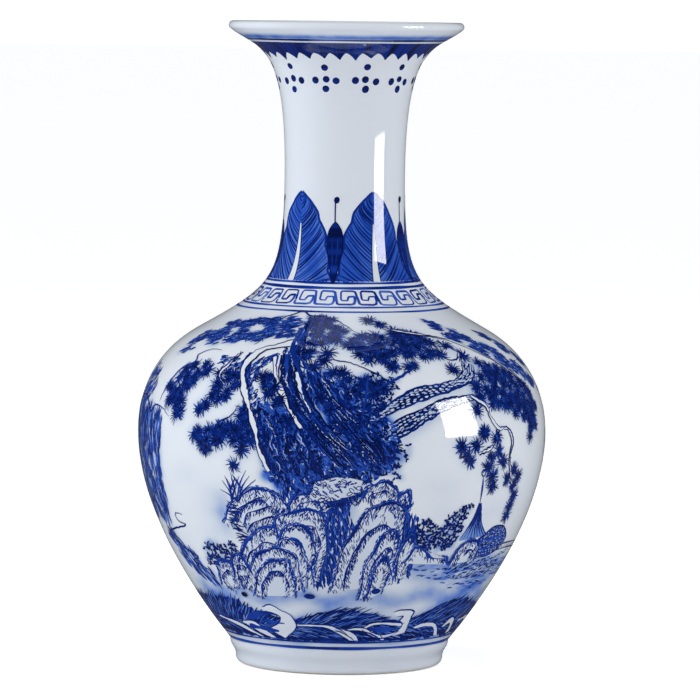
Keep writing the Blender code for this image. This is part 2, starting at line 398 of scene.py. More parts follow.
def smooth(points, count):
    """Even spots along the smooth curve through points: a cubic through each four neighbours."""
    p = np.vstack([2 * points[0] - points[1], points, 2 * points[-1] - points[-2]])
    t = np.linspace(0, len(points) - 1, count)
    i = np.minimum(t.astype(int), len(points) - 2)
    f = (t - i)[:, None]
    a, b, c, d = p[i], p[i + 1], p[i + 2], p[i + 3]
    return 0.5 * (2 * b + (c - a) * f + (2 * a - 5 * b + 4 * c - d) * f**2
                  + (3 * b - a - 3 * c + d) * f**3)


def between(first, last, share):
    """Spots across a band: at each share, straight steps from its first edge to its last."""
    share = share[:, None]
    return first[..., None, :] * (1 - share) + last[..., None, :] * share


def lay(painting, grid, ink, coat=0):
    """Lists grids of spots, (strokes, along, across, 2), with their cobalt from 0 to 1."""
    ink = np.broadcast_to(np.asarray(ink, float), grid.shape[:3])
    painting.append((grid, ink, coat))


def headings(path):
    """Unit steps (right, up) along paths of spots, as they lie on the wall."""
    radius = radius_at(path[..., 1])
    step = np.gradient(path, axis=-2) * np.stack([radius, np.ones_like(radius)], -1)
    return step / np.maximum(np.linalg.norm(step, axis=-1, keepdims=True), 1e-9)


def brush(painting, path, width, ink, coat=0, across=1):
    """Lists strokes along paths (strokes, along, 2): spots moved to both sides by half a width."""
    width = np.broadcast_to(np.asarray(width, float), path.shape[:2])
    step = headings(path)
    side = np.linspace(-0.5, 0.5, across + 1) * width[..., None]
    grid = moved(path[:, :, None], -step[..., 1:] * side, step[..., :1] * side)
    ink = np.asarray(ink, float)
    lay(painting, grid, ink[..., None] if ink.ndim else ink, coat)


def tapered(along, start=0.25, end=0.1):
    """Widths of a stroke from its start to its end: thin, soon full, and thin again."""
    t = np.linspace(0, 1, along)
    return np.minimum(1.0, np.minimum(start + t * 4, end + (1 - t) * 2.2))


def rounded(along):
    """Widths of a round dab along its length: a half circle's, the root of one less x squared."""
    return np.sqrt(np.maximum(0.02, 1 - np.linspace(-1, 1, along)**2))


cobalt_brush, tree, shader = new_paint("cobalt brush strokes")
strength = add_node(tree, "UVMap", uv_map="OFBake").outputs["UV"]
load = add_node(tree, "SeparateXYZ", {"Vector": strength}).outputs["X"]
colour = add_node(tree, "Group", {"Cobalt": load, "Place": strength, "Grain Scale": 14.0,
                                  "Unevenness": 0.16}, node_tree=cobalt)
feed(tree, shader, {"IOR": 1.5, "Roughness": 0.05, "Base Color": colour.outputs["Color"]})


def new_piece(name, points, corners, sizes, maps, material):
    """Piece on the root body: its points, each face's corners and their number, and its map."""
    mesh = bpy.data.meshes.new(name)
    mesh.vertices.add(len(points))
    mesh.vertices.foreach_set("co", points.ravel())
    mesh.loops.add(len(corners))
    mesh.loops.foreach_set("vertex_index", corners)
    mesh.polygons.add(len(sizes))
    mesh.polygons.foreach_set("loop_start", np.concatenate([[0], np.cumsum(sizes)[:-1]]))
    mesh.update(calc_edges=True)
    mesh.uv_layers.new(name="OFBake").data.foreach_set("uv", maps.ravel())
    mesh.materials.append(material)
    piece = bpy.data.objects.new(name, mesh)
    scene.collection.objects.link(piece)
    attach(piece, "root")
    return piece


def painted(name, painting):
    """Puts listed strokes into one mesh: each spot stands on the outline, lifted along its normal.

    The map holds a stroke's cobalt across and its grain up, which is all its colour needs.
    """
    points, outs, maps, quads, first = [], [], [], [], 0
    for grid, ink, coat in painting:
        strokes, along, across = grid.shape[:3]
        place, out = skin_at(grid[..., 1])
        lift = LIFT + COAT_LIFT * coat + UNEVEN_LIFT * GRAIN.random((strokes, 1, 1))
        points.append(turned_to(place + lift[..., None] * out, grid[..., 0]).reshape(-1, 3))
        outs.append(turned_to(out, grid[..., 0]).reshape(-1, 3))
        load = np.clip(ink, 0.01, 0.99) + np.linspace(-0.004, 0.004, across)
        grain = GRAIN.random((strokes, 1, 1)) * 0.8 + 0.1 + np.linspace(0, 0.05, along)[None, :, None]
        maps.append(np.stack(np.broadcast_arrays(load, grain), -1).reshape(-1, 2))
        index = first + np.arange(strokes * along * across).reshape(strokes, along, across)
        quad = np.stack([index[:, :-1, :-1], index[:, :-1, 1:], index[:, 1:, 1:],
                         index[:, 1:, :-1]], -1).reshape(-1, 4)
        corner = points[-1][quad - first]
        flat = np.cross(corner[:, 2] - corner[:, 0], corner[:, 3] - corner[:, 1])
        inward = (flat * outs[-1][quad[:, 0] - first]).sum(-1) < 0
        quad[inward] = quad[inward, ::-1]
        quads.append(quad)
        first += strokes * along * across
    points, outs, maps, quads = (np.concatenate(v) for v in (points, outs, maps, quads))
    corners = quads.ravel()
    piece = new_piece(name, points, corners, np.full(len(quads), 4), maps[corners], cobalt_brush)
    piece.data.normals_split_custom_set_from_vertices(outs)


# Ring lines and collar: the painter turns the vase on a wheel and holds the loaded brush still.
RING_SPOTS = 361


def ring(painting, height, width, ink, wobble=0.15, coat=1):
    """Ring round the vase at a height in millimetres, wavering by sines of the turn."""
    turn = np.linspace(0, math.tau, RING_SPOTS)
    phase = height * 1.7
    shift = wobble * (np.sin(3 * turn + phase) + 0.6 * np.sin(7 * turn + 2 * phase)) / 2
    wide = width * (1 + 0.15 * np.sin(5 * turn + phase) + 0.1 * np.sin(11 * turn))
    tone = ink * (1 + 0.08 * np.sin(4 * turn + phase))
    path = moved(spots_at(np.degrees(turn), height), 0.0, shift)
    brush(painting, path[None], wide, tone[None], coat)


rings = []
for height, width, ink in ((350.0, 1.8, 0.84), (216.2, 1.5, 0.64), (213.6, 1.9, 0.64),
                           (203.6, 1.4, 0.58), (201.3, 1.5, 0.60), (19.4, 1.3, 0.70),
                           (15.8, 2.3, 0.62)):
    ring(rings, height, width, ink)
painted("ring_lines", rings)

# Collar: a dark band under the lip with a lower edge of small leaning teeth.
collar = []
TEETH = 32
turn = np.linspace(0, math.tau, TEETH * 14 + 1)
phase = np.mod(turn * TEETH / math.tau, 1.0)
uneven = 1 + 0.25 * np.sin(5 * turn) * np.sin(13 * turn)
tooth = np.clip(np.minimum(phase / 0.62, (1 - phase) / 0.38), 0, 1)**1.4 * uneven
top = spots_at(np.degrees(turn), 348.6)
low = moved(spots_at(np.degrees(turn), 343.0), 0.0, -4.7 * tooth)
tone = 0.84 + 0.1 * np.sin(9 * turn) * np.sin(31 * turn)
lay(collar, between(top, low, np.linspace(0, 1, 4))[None], tone[:, None], 1)
painted("lip_collar", collar)

# Dot crosses: five round touches of the brush tip, repeated round the neck.
crosses = []
CROSSES = 11
dot_across = np.array([0.0, 0.0, 0.0, -6.1, 6.1])
dot_up = np.array([7.4, 0.0, -5.6, -1.2, -1.2])
middle = spots_at(-16.0 + np.arange(CROSSES) * 360 / CROSSES, 328.6)
centre = moved(middle[:, None], dot_across, dot_up).reshape(-1, 2)
centre = moved(centre, *(0.35 * GRAIN.standard_normal((2, len(centre)))))
lean = GRAIN.uniform(-0.5, 0.5, len(centre))[:, None]
reach = np.linspace(-2.0, 2.0, 11) * (1 + 0.08 * GRAIN.standard_normal((len(centre), 1)))
brush(crosses, moved(centre[:, None], reach * np.sin(lean), reach * np.cos(lean)),
      4.0 * rounded(11), 0.83 + 0.06 * np.sin(reach * 2), 1, 4)
painted("dot_crosses", crosses)

# Upright leaves: five broad leaves stand round the neck's foot, outlined, filled with a paler
# blue and veined, each with a white midrib. A dark bud on a stalk stands between each two.
LEAVES, VEINS = 5, 30
LEAF_FOOT, LEAF_TIP = 217.0, 266.0
upright = []
leaf_turn = 28.0 + np.arange(LEAVES) * 360 / LEAVES
up_leaf = np.linspace(0, 1, 45)
half_leaf = np.interp(up_leaf, [0, 0.15, 0.35, 0.52, 0.77, 0.90, 0.97, 1.0],
                      [34, 31, 28.5, 26, 18, 10, 4, 0.5])
leaf_height = LEAF_FOOT + (LEAF_TIP - LEAF_FOOT) * up_leaf
sides, side_sign = [], (-1.0, 1.0)
for sign in side_sign:
    lobes = 2.0 * np.abs(np.sin(up_leaf * 11 + sign + np.arange(LEAVES)[:, None]))
    edge = leaf_turn[:, None] + sign * (half_leaf + (lobes - 0.6) * (1 - up_leaf**6))
    sides.append(spots_at(edge, leaf_height))
share = np.linspace(0, 1, 13)
shade = 0.45 + 0.04 * np.sin(share * 9 + up_leaf[:, None] * 5) + 0.06 * up_leaf[:, None]
lay(upright, between(*sides, share), shade, 1)
for sign, side in zip(side_sign, sides):
    brush(upright, side, 1.3, 0.72, 3)
    root_share = np.linspace(-0.36, 0.93, VEINS) + 0.006 * GRAIN.standard_normal((LEAVES, VEINS))
    tip_share = np.minimum(np.maximum(root_share, 0) + 0.10 + 0.30 * (1 - np.abs(root_share)), 0.985)
    tip_share = np.where(root_share < 0, tip_share + 1.05 * root_share, tip_share)
    start_out = np.clip(-root_share / 0.40, 0, 1)[..., None]
    root_share = np.maximum(root_share, 0)
    along = np.linspace(0, 1, 8)
    level = root_share[..., None] * (1 - along) + np.maximum(tip_share, 0.03)[..., None] * along
    out = (start_out + (1 - start_out) * along**0.95) * np.interp(level, up_leaf, half_leaf) * 0.97
    rib = np.maximum(0.0, 1.6 * (1 - level / 0.62))
    swing = 0.8 * GRAIN.standard_normal((LEAVES, VEINS, 1)) * along
    vein = spots_at(leaf_turn[:, None, None] + sign * (rib + out + swing),
                    LEAF_FOOT + (LEAF_TIP - LEAF_FOOT) * level)
    tone = 0.68 + 0.08 * GRAIN.standard_normal((LEAVES, VEINS, 1))
    brush(upright, vein.reshape(-1, 8, 2), 0.6 + 0.5 * tapered(8), tone.reshape(-1, 1), 2)
rib_up = np.linspace(0, 0.64, 16)
rib_turn = leaf_turn[:, None] - 2.0 * (1 - rib_up / 0.64)**2 * np.cos(np.arange(LEAVES) * 2)[:, None]
rib_path = spots_at(rib_turn, LEAF_FOOT + (LEAF_TIP - LEAF_FOOT) * rib_up)
brush(upright, rib_path, 0.9 + 3.4 * (1 - rib_up / 0.64), 0.0, 4, 2)
for sign in side_sign:
    brush(upright, moved(rib_path, sign * (0.6 + 1.75 * (1 - rib_up / 0.64)), 0.0), 0.55, 0.8, 5)

bud_turn = leaf_turn[:, None] + 36.0
bud_up = np.linspace(0, 1, 24)
bud_path = spots_at(bud_turn, 216.0 + 33.5 * bud_up)
bud_wide = np.interp(bud_up, [0, 0.1, 0.3, 0.55, 0.75, 0.88, 0.97, 1],
                     [1.2, 3.2, 6.0, 9.2, 9.4, 7.0, 3.0, 0.8])
brush(upright, bud_path, bud_wide, 0.80 + 0.07 * np.sin(bud_up * 21) * np.sin(bud_up * 5), 6, 4)
bud_side = 0.5 * bud_wide - 0.3
for sign in side_sign:
    brush(upright, moved(bud_path, sign * bud_side, 0.0), 0.7, 0.9, 7)
    brush(upright, moved(bud_path[:, 6:18], sign * 0.35 * bud_side[6:18], 0.0),
          0.9 * tapered(12), 0.66, 7)
brush(upright, spots_at(bud_turn - 0.4, np.linspace(248.5, 261.0, 7)), 0.75, 0.8, 5)
bulb = np.linspace(-1.7, 2.0, 11)
brush(upright, moved(spots_at(bud_turn, 261.5), 0.5 + 0.25 * bulb, bulb), 3.1 * rounded(11),
      0.88, 6, 4)
painted("upright_leaves", upright)

# Key fret: a chain of squared hooks on the shoulder, each drawn in one line with a flat brush.
fret = []
HOOKS = 27
hook = np.array([(0.00, 0.30), (0.03, 0.06), (0.12, 0.0), (0.40, 0.0), (0.66, 0.0), (0.80, 0.08),
                 (0.86, 0.30), (0.86, 0.60), (0.80, 0.66), (0.56, 0.64), (0.52, 0.52), (0.48, 0.34),
                 (0.24, 0.34), (0.19, 0.42), (0.19, 0.90), (0.26, 1.0), (0.50, 1.0), (0.78, 1.0),
                 (0.90, 0.96), (0.94, 0.70), (1.00, 0.30)])
along = np.linspace(0, len(hook) - 1, 61)
hook_line = np.stack([np.interp(along, np.arange(len(hook)), hook[:, i]) for i in (0, 1)], -1)
number = np.arange(HOOKS)[:, None]
wave = 0.012 * np.sin(along * 0.7 + number * 2.1)
hook_turn = (number + hook_line[:, 0] + wave) * 360 / HOOKS - 4.0
hook_height = 204.9 + 6.9 * hook_line[:, 1] + 0.25 * np.sin(along * 0.5 + number)
load = 0.55 + 0.16 * np.clip(np.sin(number * 1.9 + 0.6), -0.35, 1)
brush(fret, spots_at(hook_turn, hook_height), 1.35 + 0.3 * np.sin(along * 0.35 + number),
      load + 0.05 * np.sin(along + number), 1)
painted("key_fret", fret)


# Soft washes of thin cobalt lie under the painting, and a band of painted shade lies under the lip
# among them. Each is a dab that fades to nothing at its edge. Every section lists its own, and the
# skins made last hold them all.
washes_and_shade = []


def wash_and_shade_dabs(middle, wide, tall, strength, lean=0.0):
    """Lists dabs of wash and of painted shade: middles as spots, half sizes in millimetres, leans in
    degrees.
    """
    washes_and_shade.append(np.stack(np.broadcast_arrays(
        middle[:, 0], middle[:, 1], wide, tall, strength, math.radians(lean)), -1))


# The landscape is painted once on the front and once more on the far side, where every stroke
# wanders a little, as no painter repeats a line. Each section draws its accidents from a seeded
# hand of its own.
BARE_WHITE, PALE_ROCK = 0.015, 0.075


def far_side(painting):
    """The same strokes half a turn on, pushed by up to 4 mm along slow sines of turn and run."""
    again = []
    for grid, ink, coat in painting:
        turn, run = grid[..., 0], grid[..., 1]
        right = 2.6 * np.sin(5 * turn + 30 * run) + 1.4 * np.sin(70 * run + 2.0)
        up = 2.0 * np.sin(4 * turn + 1.0) * np.sin(math.pi * np.clip(run / 0.2, 0, 1))
        shifted = moved(grid, right, up)
        again.append((shifted + np.array([math.pi, 0.0]), ink, coat))
    return again


def on_both_sides(name, painting):
    """Two pieces: the front's strokes, and the far side's."""
    painted(name + "_front", painting)
    painted(name + "_far_side", far_side(painting))


def inside(flat, corners):
    """Whether points lie in a closed outline: a line to their left crosses it an odd number of times."""
    here, there = corners, np.roll(corners, -1, 0)
    x, y = flat[:, :1], flat[:, 1:]
    spans_y = (here[:, 1] > y) != (there[:, 1] > y)
    rise = there[:, 1] - here[:, 1] + 1e-12
    at = here[:, 0] + (y - here[:, 1]) * (there[:, 0] - here[:, 0]) / rise
    return (spans_y & (x < at)).sum(1) % 2 == 1


def scattered(corners, gap):
    """Spots inside a closed outline: a square grid of that gap in millimetres, each one shaken."""
    edge = spots(corners)
    flatten = np.array([radius_at(edge[:, 1].mean()), 1.0])
    edge = edge * flatten
    low, high = edge.min(0), edge.max(0)
    x, y = (np.arange(low[i], high[i], gap / 1000) for i in (0, 1))
    flat = np.stack(np.meshgrid(x, y), -1).reshape(-1, 2)
    flat += hand.uniform(-0.45, 0.45, flat.shape) * gap / 1000
    return flat[inside(flat, edge)] / flatten


def broken_up(middle, size, keep):
    """Scattered spots thinned into clumps: kept where a sum of three slow waves is high enough."""
    flat = middle * np.array([radius_at(middle[:, 1].mean()), 1.0]) * 1000 / size
    turn, phase = hand.uniform(0, math.pi, 3), hand.uniform(0, math.tau, 3)
    waves_at = flat[:, :1] * np.cos(turn) + flat[:, 1:] * np.sin(turn)
    return middle[np.cos(math.tau * waves_at + phase).sum(1) > keep]


def line(painting, points, width, ink, coat=5, wobble=0.25):
    """One brush line through points in degrees and millimetres, swelling and wavering."""
    along = max(8, 5 * len(points))
    path = smooth(spots(points), along)
    path = moved(path, *(wobble * hand.standard_normal((2, along))))
    swell = 1 + 0.3 * np.sin(np.linspace(0, 7, along) + hand.uniform(0, 6))
    brush(painting, path[None], (1.15 * width * swell * tapered(along, 0.4, 0.3))[None], ink - 0.08, coat)


def dashes(painting, middle, angle, length, width, ink, coat, bend=0.2, along=5):
    """Short strokes on spots at angles in degrees from the turn: a straight step plus a bow."""
    n = len(middle)
    t = np.linspace(-0.5, 0.5, along)
    angle = np.radians(np.broadcast_to(angle, n) + 8 * hand.standard_normal(n))[:, None]
    length = (np.broadcast_to(length, n) * hand.uniform(0.7, 1.25, n))[:, None]
    bow = bend * length * (0.25 - t**2) * hand.choice([-1.0, 1.0], (n, 1))
    right = t * length * np.cos(angle) - bow * np.sin(angle)
    up = t * length * np.sin(angle) + bow * np.cos(angle)
    wide = np.broadcast_to(width, n)[:, None] * hand.uniform(0.75, 1.25, (n, 1)) * rounded(along)
    tone = np.clip(np.broadcast_to(ink, n) + 0.07 * hand.standard_normal(n), 0.03, 0.97)
    brush(painting, moved(middle[:, None], right, up), wide, tone[:, None], coat)


def under_wash(middle, wide, tall, strength, lean=0.0):
    """Washes under spots, on the front and, half a turn on, on the far side."""
    for half_turn in (0.0, math.pi):
        wash_and_shade_dabs(middle + np.array([half_turn, 0.0]), wide, tall, strength, lean)


def blocked_in(painting, low, high, ink, coat, across=7, along=24):
    """Filled band between two smooth lines of points: straight steps from one to the other."""
    first, last = smooth(spots(low), along), smooth(spots(high), along)
    lay(painting, between(first, last, np.linspace(0, 1, across))[None], ink, coat)


# Pine needles: each tuft is a wheel of fine needles round a dark middle, on a blot of wash.
hand = np.random.default_rng(21)
needles = []


def tufts(painting, middle, size, count=20, ink=0.80, coat=6):
    """Wheels of needles: from each middle, count strokes fan round most of a full turn."""
    n = len(middle)
    size = np.broadcast_to(size, n)[:, None, None]
    t = np.array([0.08, 0.4, 0.75, 1.0])
    fan = hand.uniform(0, math.tau, (n, 1)) + hand.uniform(5.0, 6.2, (n, 1)) * np.linspace(0, 1, count)
    fan = fan + 0.10 * hand.standard_normal((n, count))
    bend = 0.3 * hand.standard_normal((n, 1, 1))
    angle = fan[..., None] + bend * t
    reach = size * hand.uniform(0.72, 1.12, (n, count, 1)) * t
    path = moved(middle[:, None, None], reach * np.cos(angle), reach * np.sin(angle))
    tone = ink + 0.10 * hand.standard_normal((n, count, 1)) + np.array([0.08, 0.04, 0.0, -0.06])
    brush(painting, path.reshape(-1, 4, 2), np.array([0.50, 0.62, 0.52, 0.24]),
          np.clip(tone, 0.3, 0.96).reshape(-1, 4), coat)
    dashes(painting, middle, hand.uniform(0, 180, n), 1.05 * size[:, 0, 0], 0.85 * size[:, 0, 0],
           ink - 0.20, coat - 2, 0.1, 6)
    dashes(painting, middle, hand.uniform(0, 180, n), 0.5 * size[:, 0, 0], 0.34 * size[:, 0, 0],
           ink + 0.10, coat + 1, 0.1)
    under_wash(middle, 0.9 * size[:, 0, 0], 0.8 * size[:, 0, 0], 0.14)


TUFT_PADS = [
    [(-62, 149), (-61, 160), (-57, 168), (-52, 172), (-46, 173), (-44, 166), (-48, 160),
     (-50, 152), (-52, 144), (-55, 147), (-57, 153), (-60, 152)],
    [(-43, 171), (-35, 172), (-31, 168), (-32, 160), (-36, 153), (-42, 149), (-46, 145),
     (-45, 152), (-40, 156), (-42, 163)],
    [(-45, 136), (-38, 142), (-33, 145), (-28, 141), (-30, 133), (-36, 133), (-40, 127), (-43, 131)],
    [(-29, 152), (-25, 150), (-24, 138), (-26, 128), (-31, 117), (-34, 119), (-31, 127), (-31, 138)],
    [(-25, 168), (-21, 169), (-19, 162), (-21, 155), (-25, 158)],
    [(2, 188), (8, 190), (14, 190), (22, 192), (32, 190), (35, 186), (32, 180), (29, 177),
     (26, 172), (20, 173), (14, 172), (12, 178), (7, 175), (2, 180)],
    [(47, 176), (54, 175), (62, 168), (70, 160), (74, 148), (68, 133), (64, 133), (62, 144),
     (56, 146), (54, 152), (48, 152), (42, 156), (43, 163), (47, 168)],
    [(-15, 198), (-8, 199), (-2, 196), (3, 190), (1, 184), (-6, 185), (-12, 186), (-16, 191)],
    [(0, 170), (6, 171), (9, 166), (14, 163), (14, 156), (11, 151), (7, 150), (3, 158)],
]
for pad in TUFT_PADS:
    middle = scattered(pad, 5.0)
    tufts(needles, middle, hand.uniform(4.4, 6.0, len(middle)))
LONE_TUFTS = [(-58, 152), (-53, 145), (-43, 135), (-40, 129), (-12, 179), (-9, 174), (-5, 181),
              (-3, 171), (0, 171), (-3, 160), (1, 159), (12, 197), (17, 195), (22, 192), (27, 190),
              (35, 180), (37, 172), (40, 184), (44, 179), (35, 131), (37, 126), (40, 131),
              (38, 123), (45, 119), (47, 114), (48, 108), (51, 121), (49, 127), (43, 138),
              (48, 135), (60, 112), (58, 107), (60, 101), (59, 95), (59, 90), (54, 111),
              (46, 124), (57, 116), (-6, 177), (41, 150), (43, 138)]
tufts(needles, spots(LONE_TUFTS), hand.uniform(4.8, 6.2, len(LONE_TUFTS)), 26)
BARK_TUFTS = [(-24, 168), (-20, 163), (-18, 156), (-11, 181), (-6, 158), (-3, 152), (-15, 146)]
tufts(needles, spots(BARK_TUFTS), hand.uniform(4.6, 5.8, len(BARK_TUFTS)), 26, 0.84, 15)

# Loose slanting dabs for the needles seen from afar along the top of the shoulder.
FAR_PADS = [
    (28, [(-70, 178), (-68, 187), (-60, 194), (-50, 196), (-38, 197), (-26, 199), (-20, 196),
          (-19, 189), (-30, 186), (-45, 184), (-58, 181), (-66, 176)]),
    (-30, [(42, 197), (48, 195), (56, 188), (66, 180), (76, 170), (86, 156), (80, 156),
           (70, 166), (60, 174), (50, 182), (43, 191)]),
    (-48, [(66, 191), (72, 188), (80, 178), (86, 168), (77, 172), (69, 182)]),
]
for lean, pad in FAR_PADS:
    middle = broken_up(scattered(pad, 2.0), 15.0, -0.7)
    dashes(needles, middle, lean, 6.5, 1.5, 0.58, 4)
    dashes(needles, moved(middle, *(0.9 * hand.standard_normal((2, len(middle))))),
           lean + hand.choice([-25, 0, 25, 90], len(middle)), 4.2, 0.6, 0.80, 6)
    under_wash(middle[::6], 4.0, 2.6, 0.22, lean)
on_both_sides("pine_needles", needles)

# Trunks and boughs: the bark is drawn in loops and dark streaks, and the lit sides are left
# white between two dark outlines.
hand = np.random.default_rng(33)
boughs = []


def white_bough(painting, points, width, coat=12):
    """Bough left white: a pale band along smooth points, with a wavering dark line each side."""
    along = 6 * len(points)
    path = smooth(spots(points), along)
    knots = np.sin(np.linspace(0, 2.7 * len(points), along) + hand.uniform(0, 6))
    width = np.linspace(*width, along) * (1 + 0.28 * knots)
    brush(painting, path[None], width[None], BARE_WHITE, coat, 3)
    step = headings(path)
    for sign in side_sign:
        off = sign * (0.5 * width + 0.21 * hand.standard_normal(along))
        edge = moved(path, -step[:, 1] * off, step[:, 0] * off)
        wide = 0.75 + 0.35 * np.sin(np.linspace(0, 9, along) + hand.uniform(0, 6))
        brush(painting, edge[None], wide[None], 0.82, coat + 1)


def bark_loops(painting, corners, gap, angle=80.0, size=2.6, ink=0.8, coat=6):
    """Bark scales in an outline: small open rings, longer than wide, lying along an angle."""
    middle = scattered(corners, gap)
    n, t = len(middle), np.linspace(0, math.tau * 0.92, 9)
    lean = np.radians(angle + 15 * hand.standard_normal(n))[:, None]
    long = size * hand.uniform(0.7, 1.2, (n, 1)) / 2 * np.cos(t + hand.uniform(0, 6, (n, 1)))
    wide = 0.62 * size * hand.uniform(0.7, 1.2, (n, 1)) / 2 * np.sin(t + hand.uniform(0, 6, (n, 1)))
    path = moved(middle[:, None], long * np.cos(lean) - wide * np.sin(lean),
                 long * np.sin(lean) + wide * np.cos(lean))
    brush(painting, path, 0.55 * hand.uniform(0.8, 1.3, (n, 1)), ink, coat)


def streaked(painting, left, right, count, coat):
    """Rough bark between two smooth lines: lines at random shares and stretches of the way down.

    Most are dark, some are mid blue, and a few are left nearly white.
    """
    first, last = smooth(spots(left), 60), smooth(spots(right), 60)
    blocked_in(painting, left, right, 0.60, coat - 1, 9)
    for ink, share_of, width in ((0.94, 0.7, 1.0), (0.62, 0.25, 0.9), (0.22, 0.12, 0.45)):
        n = int(count * share_of)
        start = hand.uniform(-2, 50, n)
        t = np.clip(start[:, None] + hand.uniform(5, 15, (n, 1)) * np.linspace(0, 1, 8), 0, 58.9)
        i = t.astype(int)
        share = np.clip(hand.uniform(-0.04, 1.04, (n, 1)) + 0.05 * np.sin(t / 3 + start[:, None]), 0, 1)
        edges = [e[i] + (t - i)[..., None] * (e[i + 1] - e[i]) for e in (first, last)]
        path = edges[0] * (1 - share[..., None]) + edges[1] * share[..., None]
        path = moved(path, *(0.25 * hand.standard_normal((2, n, 8))))
        wide = width * hand.uniform(0.6, 1.3, (n, 1)) * rounded(8)
        brush(painting, path, wide, ink + 0.06 * hand.standard_normal((n, 1)), coat + 1)


TRUNKS = [
    ([(-20, 180), (-19, 172), (-17, 163), (-14, 153), (-10, 142), (-5, 130), (0, 120)],
     [(-16, 180), (-13, 172), (-11, 163), (-8, 154), (-3, 142), (3, 130), (8, 120)], 210),
    ([(-11, 172), (-8, 163), (-5, 154), (0, 143), (6, 131), (9, 122)],
     [(-6, 171), (-2, 162), (2, 152), (7, 143), (12, 133), (14, 124)], 150),
    ([(-24, 150), (-22, 141), (-21, 132), (-20, 123), (-18, 116)],
     [(-15, 152), (-12, 142), (-9, 132), (-7, 122), (-4, 113)], 170),
    ([(-19, 193), (-18, 187), (-17, 181), (-14, 174)],
     [(-15, 194), (-14, 187), (-13, 180), (-10, 172)], 60),
    ([(-33, 180), (-33, 172), (-31, 163), (-30, 158)],
     [(-31, 180), (-30, 172), (-28.5, 163), (-28, 157)], 40),
]
for left, right, count in TRUNKS:
    streaked(boughs, left, right, count, 8)
    for edge in (left, right):
        line(boughs, edge, 1.1, 0.96, 11, 0.35)
TANGLES = [
    [(-24, 156), (-17, 152), (-12, 146), (-6, 138), (-2, 126), (-2, 112), (-9, 107), (-17, 109),
     (-21, 114), (-22, 128), (-24, 142)],
    [(-4, 150), (4, 152), (12, 148), (16, 141), (15, 130), (13, 119), (5, 110), (-3, 114), (-3, 138)],
    [(-12, 172), (-4, 170), (4, 160), (2, 150), (-6, 152), (-10, 160)],
]
for mass in TANGLES:
    middle = broken_up(scattered(mass, 2.0), 13.0, -0.9)
    dashes(boughs, middle, -58 + 22 * hand.standard_normal(len(middle)), 6.0, 1.7, 0.60, 4, 0.4)
    middle = broken_up(scattered(mass, 2.2), 11.0, 0.1)
    dashes(boughs, middle, -60 + 26 * hand.standard_normal(len(middle)), 6.5, 1.1, 0.94, 6, 0.5)
    bark_loops(boughs, mass, 3.4, -50, 2.8, 0.50, 7)
    middle = broken_up(scattered(mass, 3.0), 9.0, 0.8)
    dashes(boughs, middle, -50 + 35 * hand.standard_normal(len(middle)), 2.8, 0.6, 0.16, 7, 0.5)
    middle = broken_up(scattered(mass, 6.0), 16.0, -0.4)
    tufts(boughs, middle, hand.uniform(4.0, 5.6, len(middle)), 22, 0.84, 6)
    under_wash(scattered(mass, 5.0), 3.4, 3.4, 0.5)
for corners, lean in (
    ([(-28, 177), (-22, 181), (-21, 178), (-26, 173), (-26, 162), (-23, 153), (-26, 152),
      (-29, 162), (-30, 172)], 70),
    ([(-21, 184), (-17, 183), (-15, 172), (-16, 166), (-19, 172)], 80),
    ([(-43, 178), (-36, 177), (-32, 175), (-31, 171), (-38, 172), (-43, 173)], 10),
):
    middle = scattered(corners, 2.2)
    dashes(boughs, middle, lean, 3.2, 1.5, 0.5, 3)
    bark_loops(boughs, corners, 2.4, lean, 2.6, 0.82, 6)
white_bough(boughs, [(-17, 186), (-23, 184), (-29, 181), (-32, 173), (-30, 163), (-28, 156),
                     (-26, 148), (-24, 139), (-23, 130), (-20, 118)], (4.2, 2.2))
white_bough(boughs, [(-22, 179), (-20, 168), (-17, 159), (-14, 150), (-11, 142)], (4.0, 1.5))
white_bough(boughs, [(-14, 171), (-12, 162), (-10, 155), (-8, 149)], (2.6, 0.8))
white_bough(boughs, [(-36, 180), (-38, 174), (-40, 168), (-37, 163)], (1.6, 1.0))
white_bough(boughs, [(18, 193), (27, 191), (36, 189), (45, 186), (54, 179), (62, 171), (68, 163)],
            (1.6, 1.2))
for points, width in (
    ([(-50, 194), (-44, 196), (-38, 197), (-33, 196), (-27, 199), (-21, 201), (-16, 199),
      (-9, 199), (-3, 197), (2, 194), (8, 189)], 0.8),
    ([(-64, 150), (-62, 160), (-59, 169), (-54, 173), (-55, 177), (-50, 180), (-45, 180)], 0.8),
    ([(-17, 193), (-18, 187), (-17, 181), (-14, 174), (-12, 168)], 2.0),
    ([(-38, 139), (-35, 144), (-32, 147), (-30, 153)], 0.8),
    ([(-27, 170), (-25, 176), (-22, 179), (-21, 173), (-19, 166)], 0.9),
    ([(-4, 178), (3, 176), (9, 172), (14, 167)], 0.7),
    ([(24, 175), (20, 171), (14, 166), (9, 162)], 1.1),
    ([(8, 171), (7, 160), (6, 150), (5, 140)], 0.9),
):
    line(boughs, points, width, 0.84, 14, 0.2)

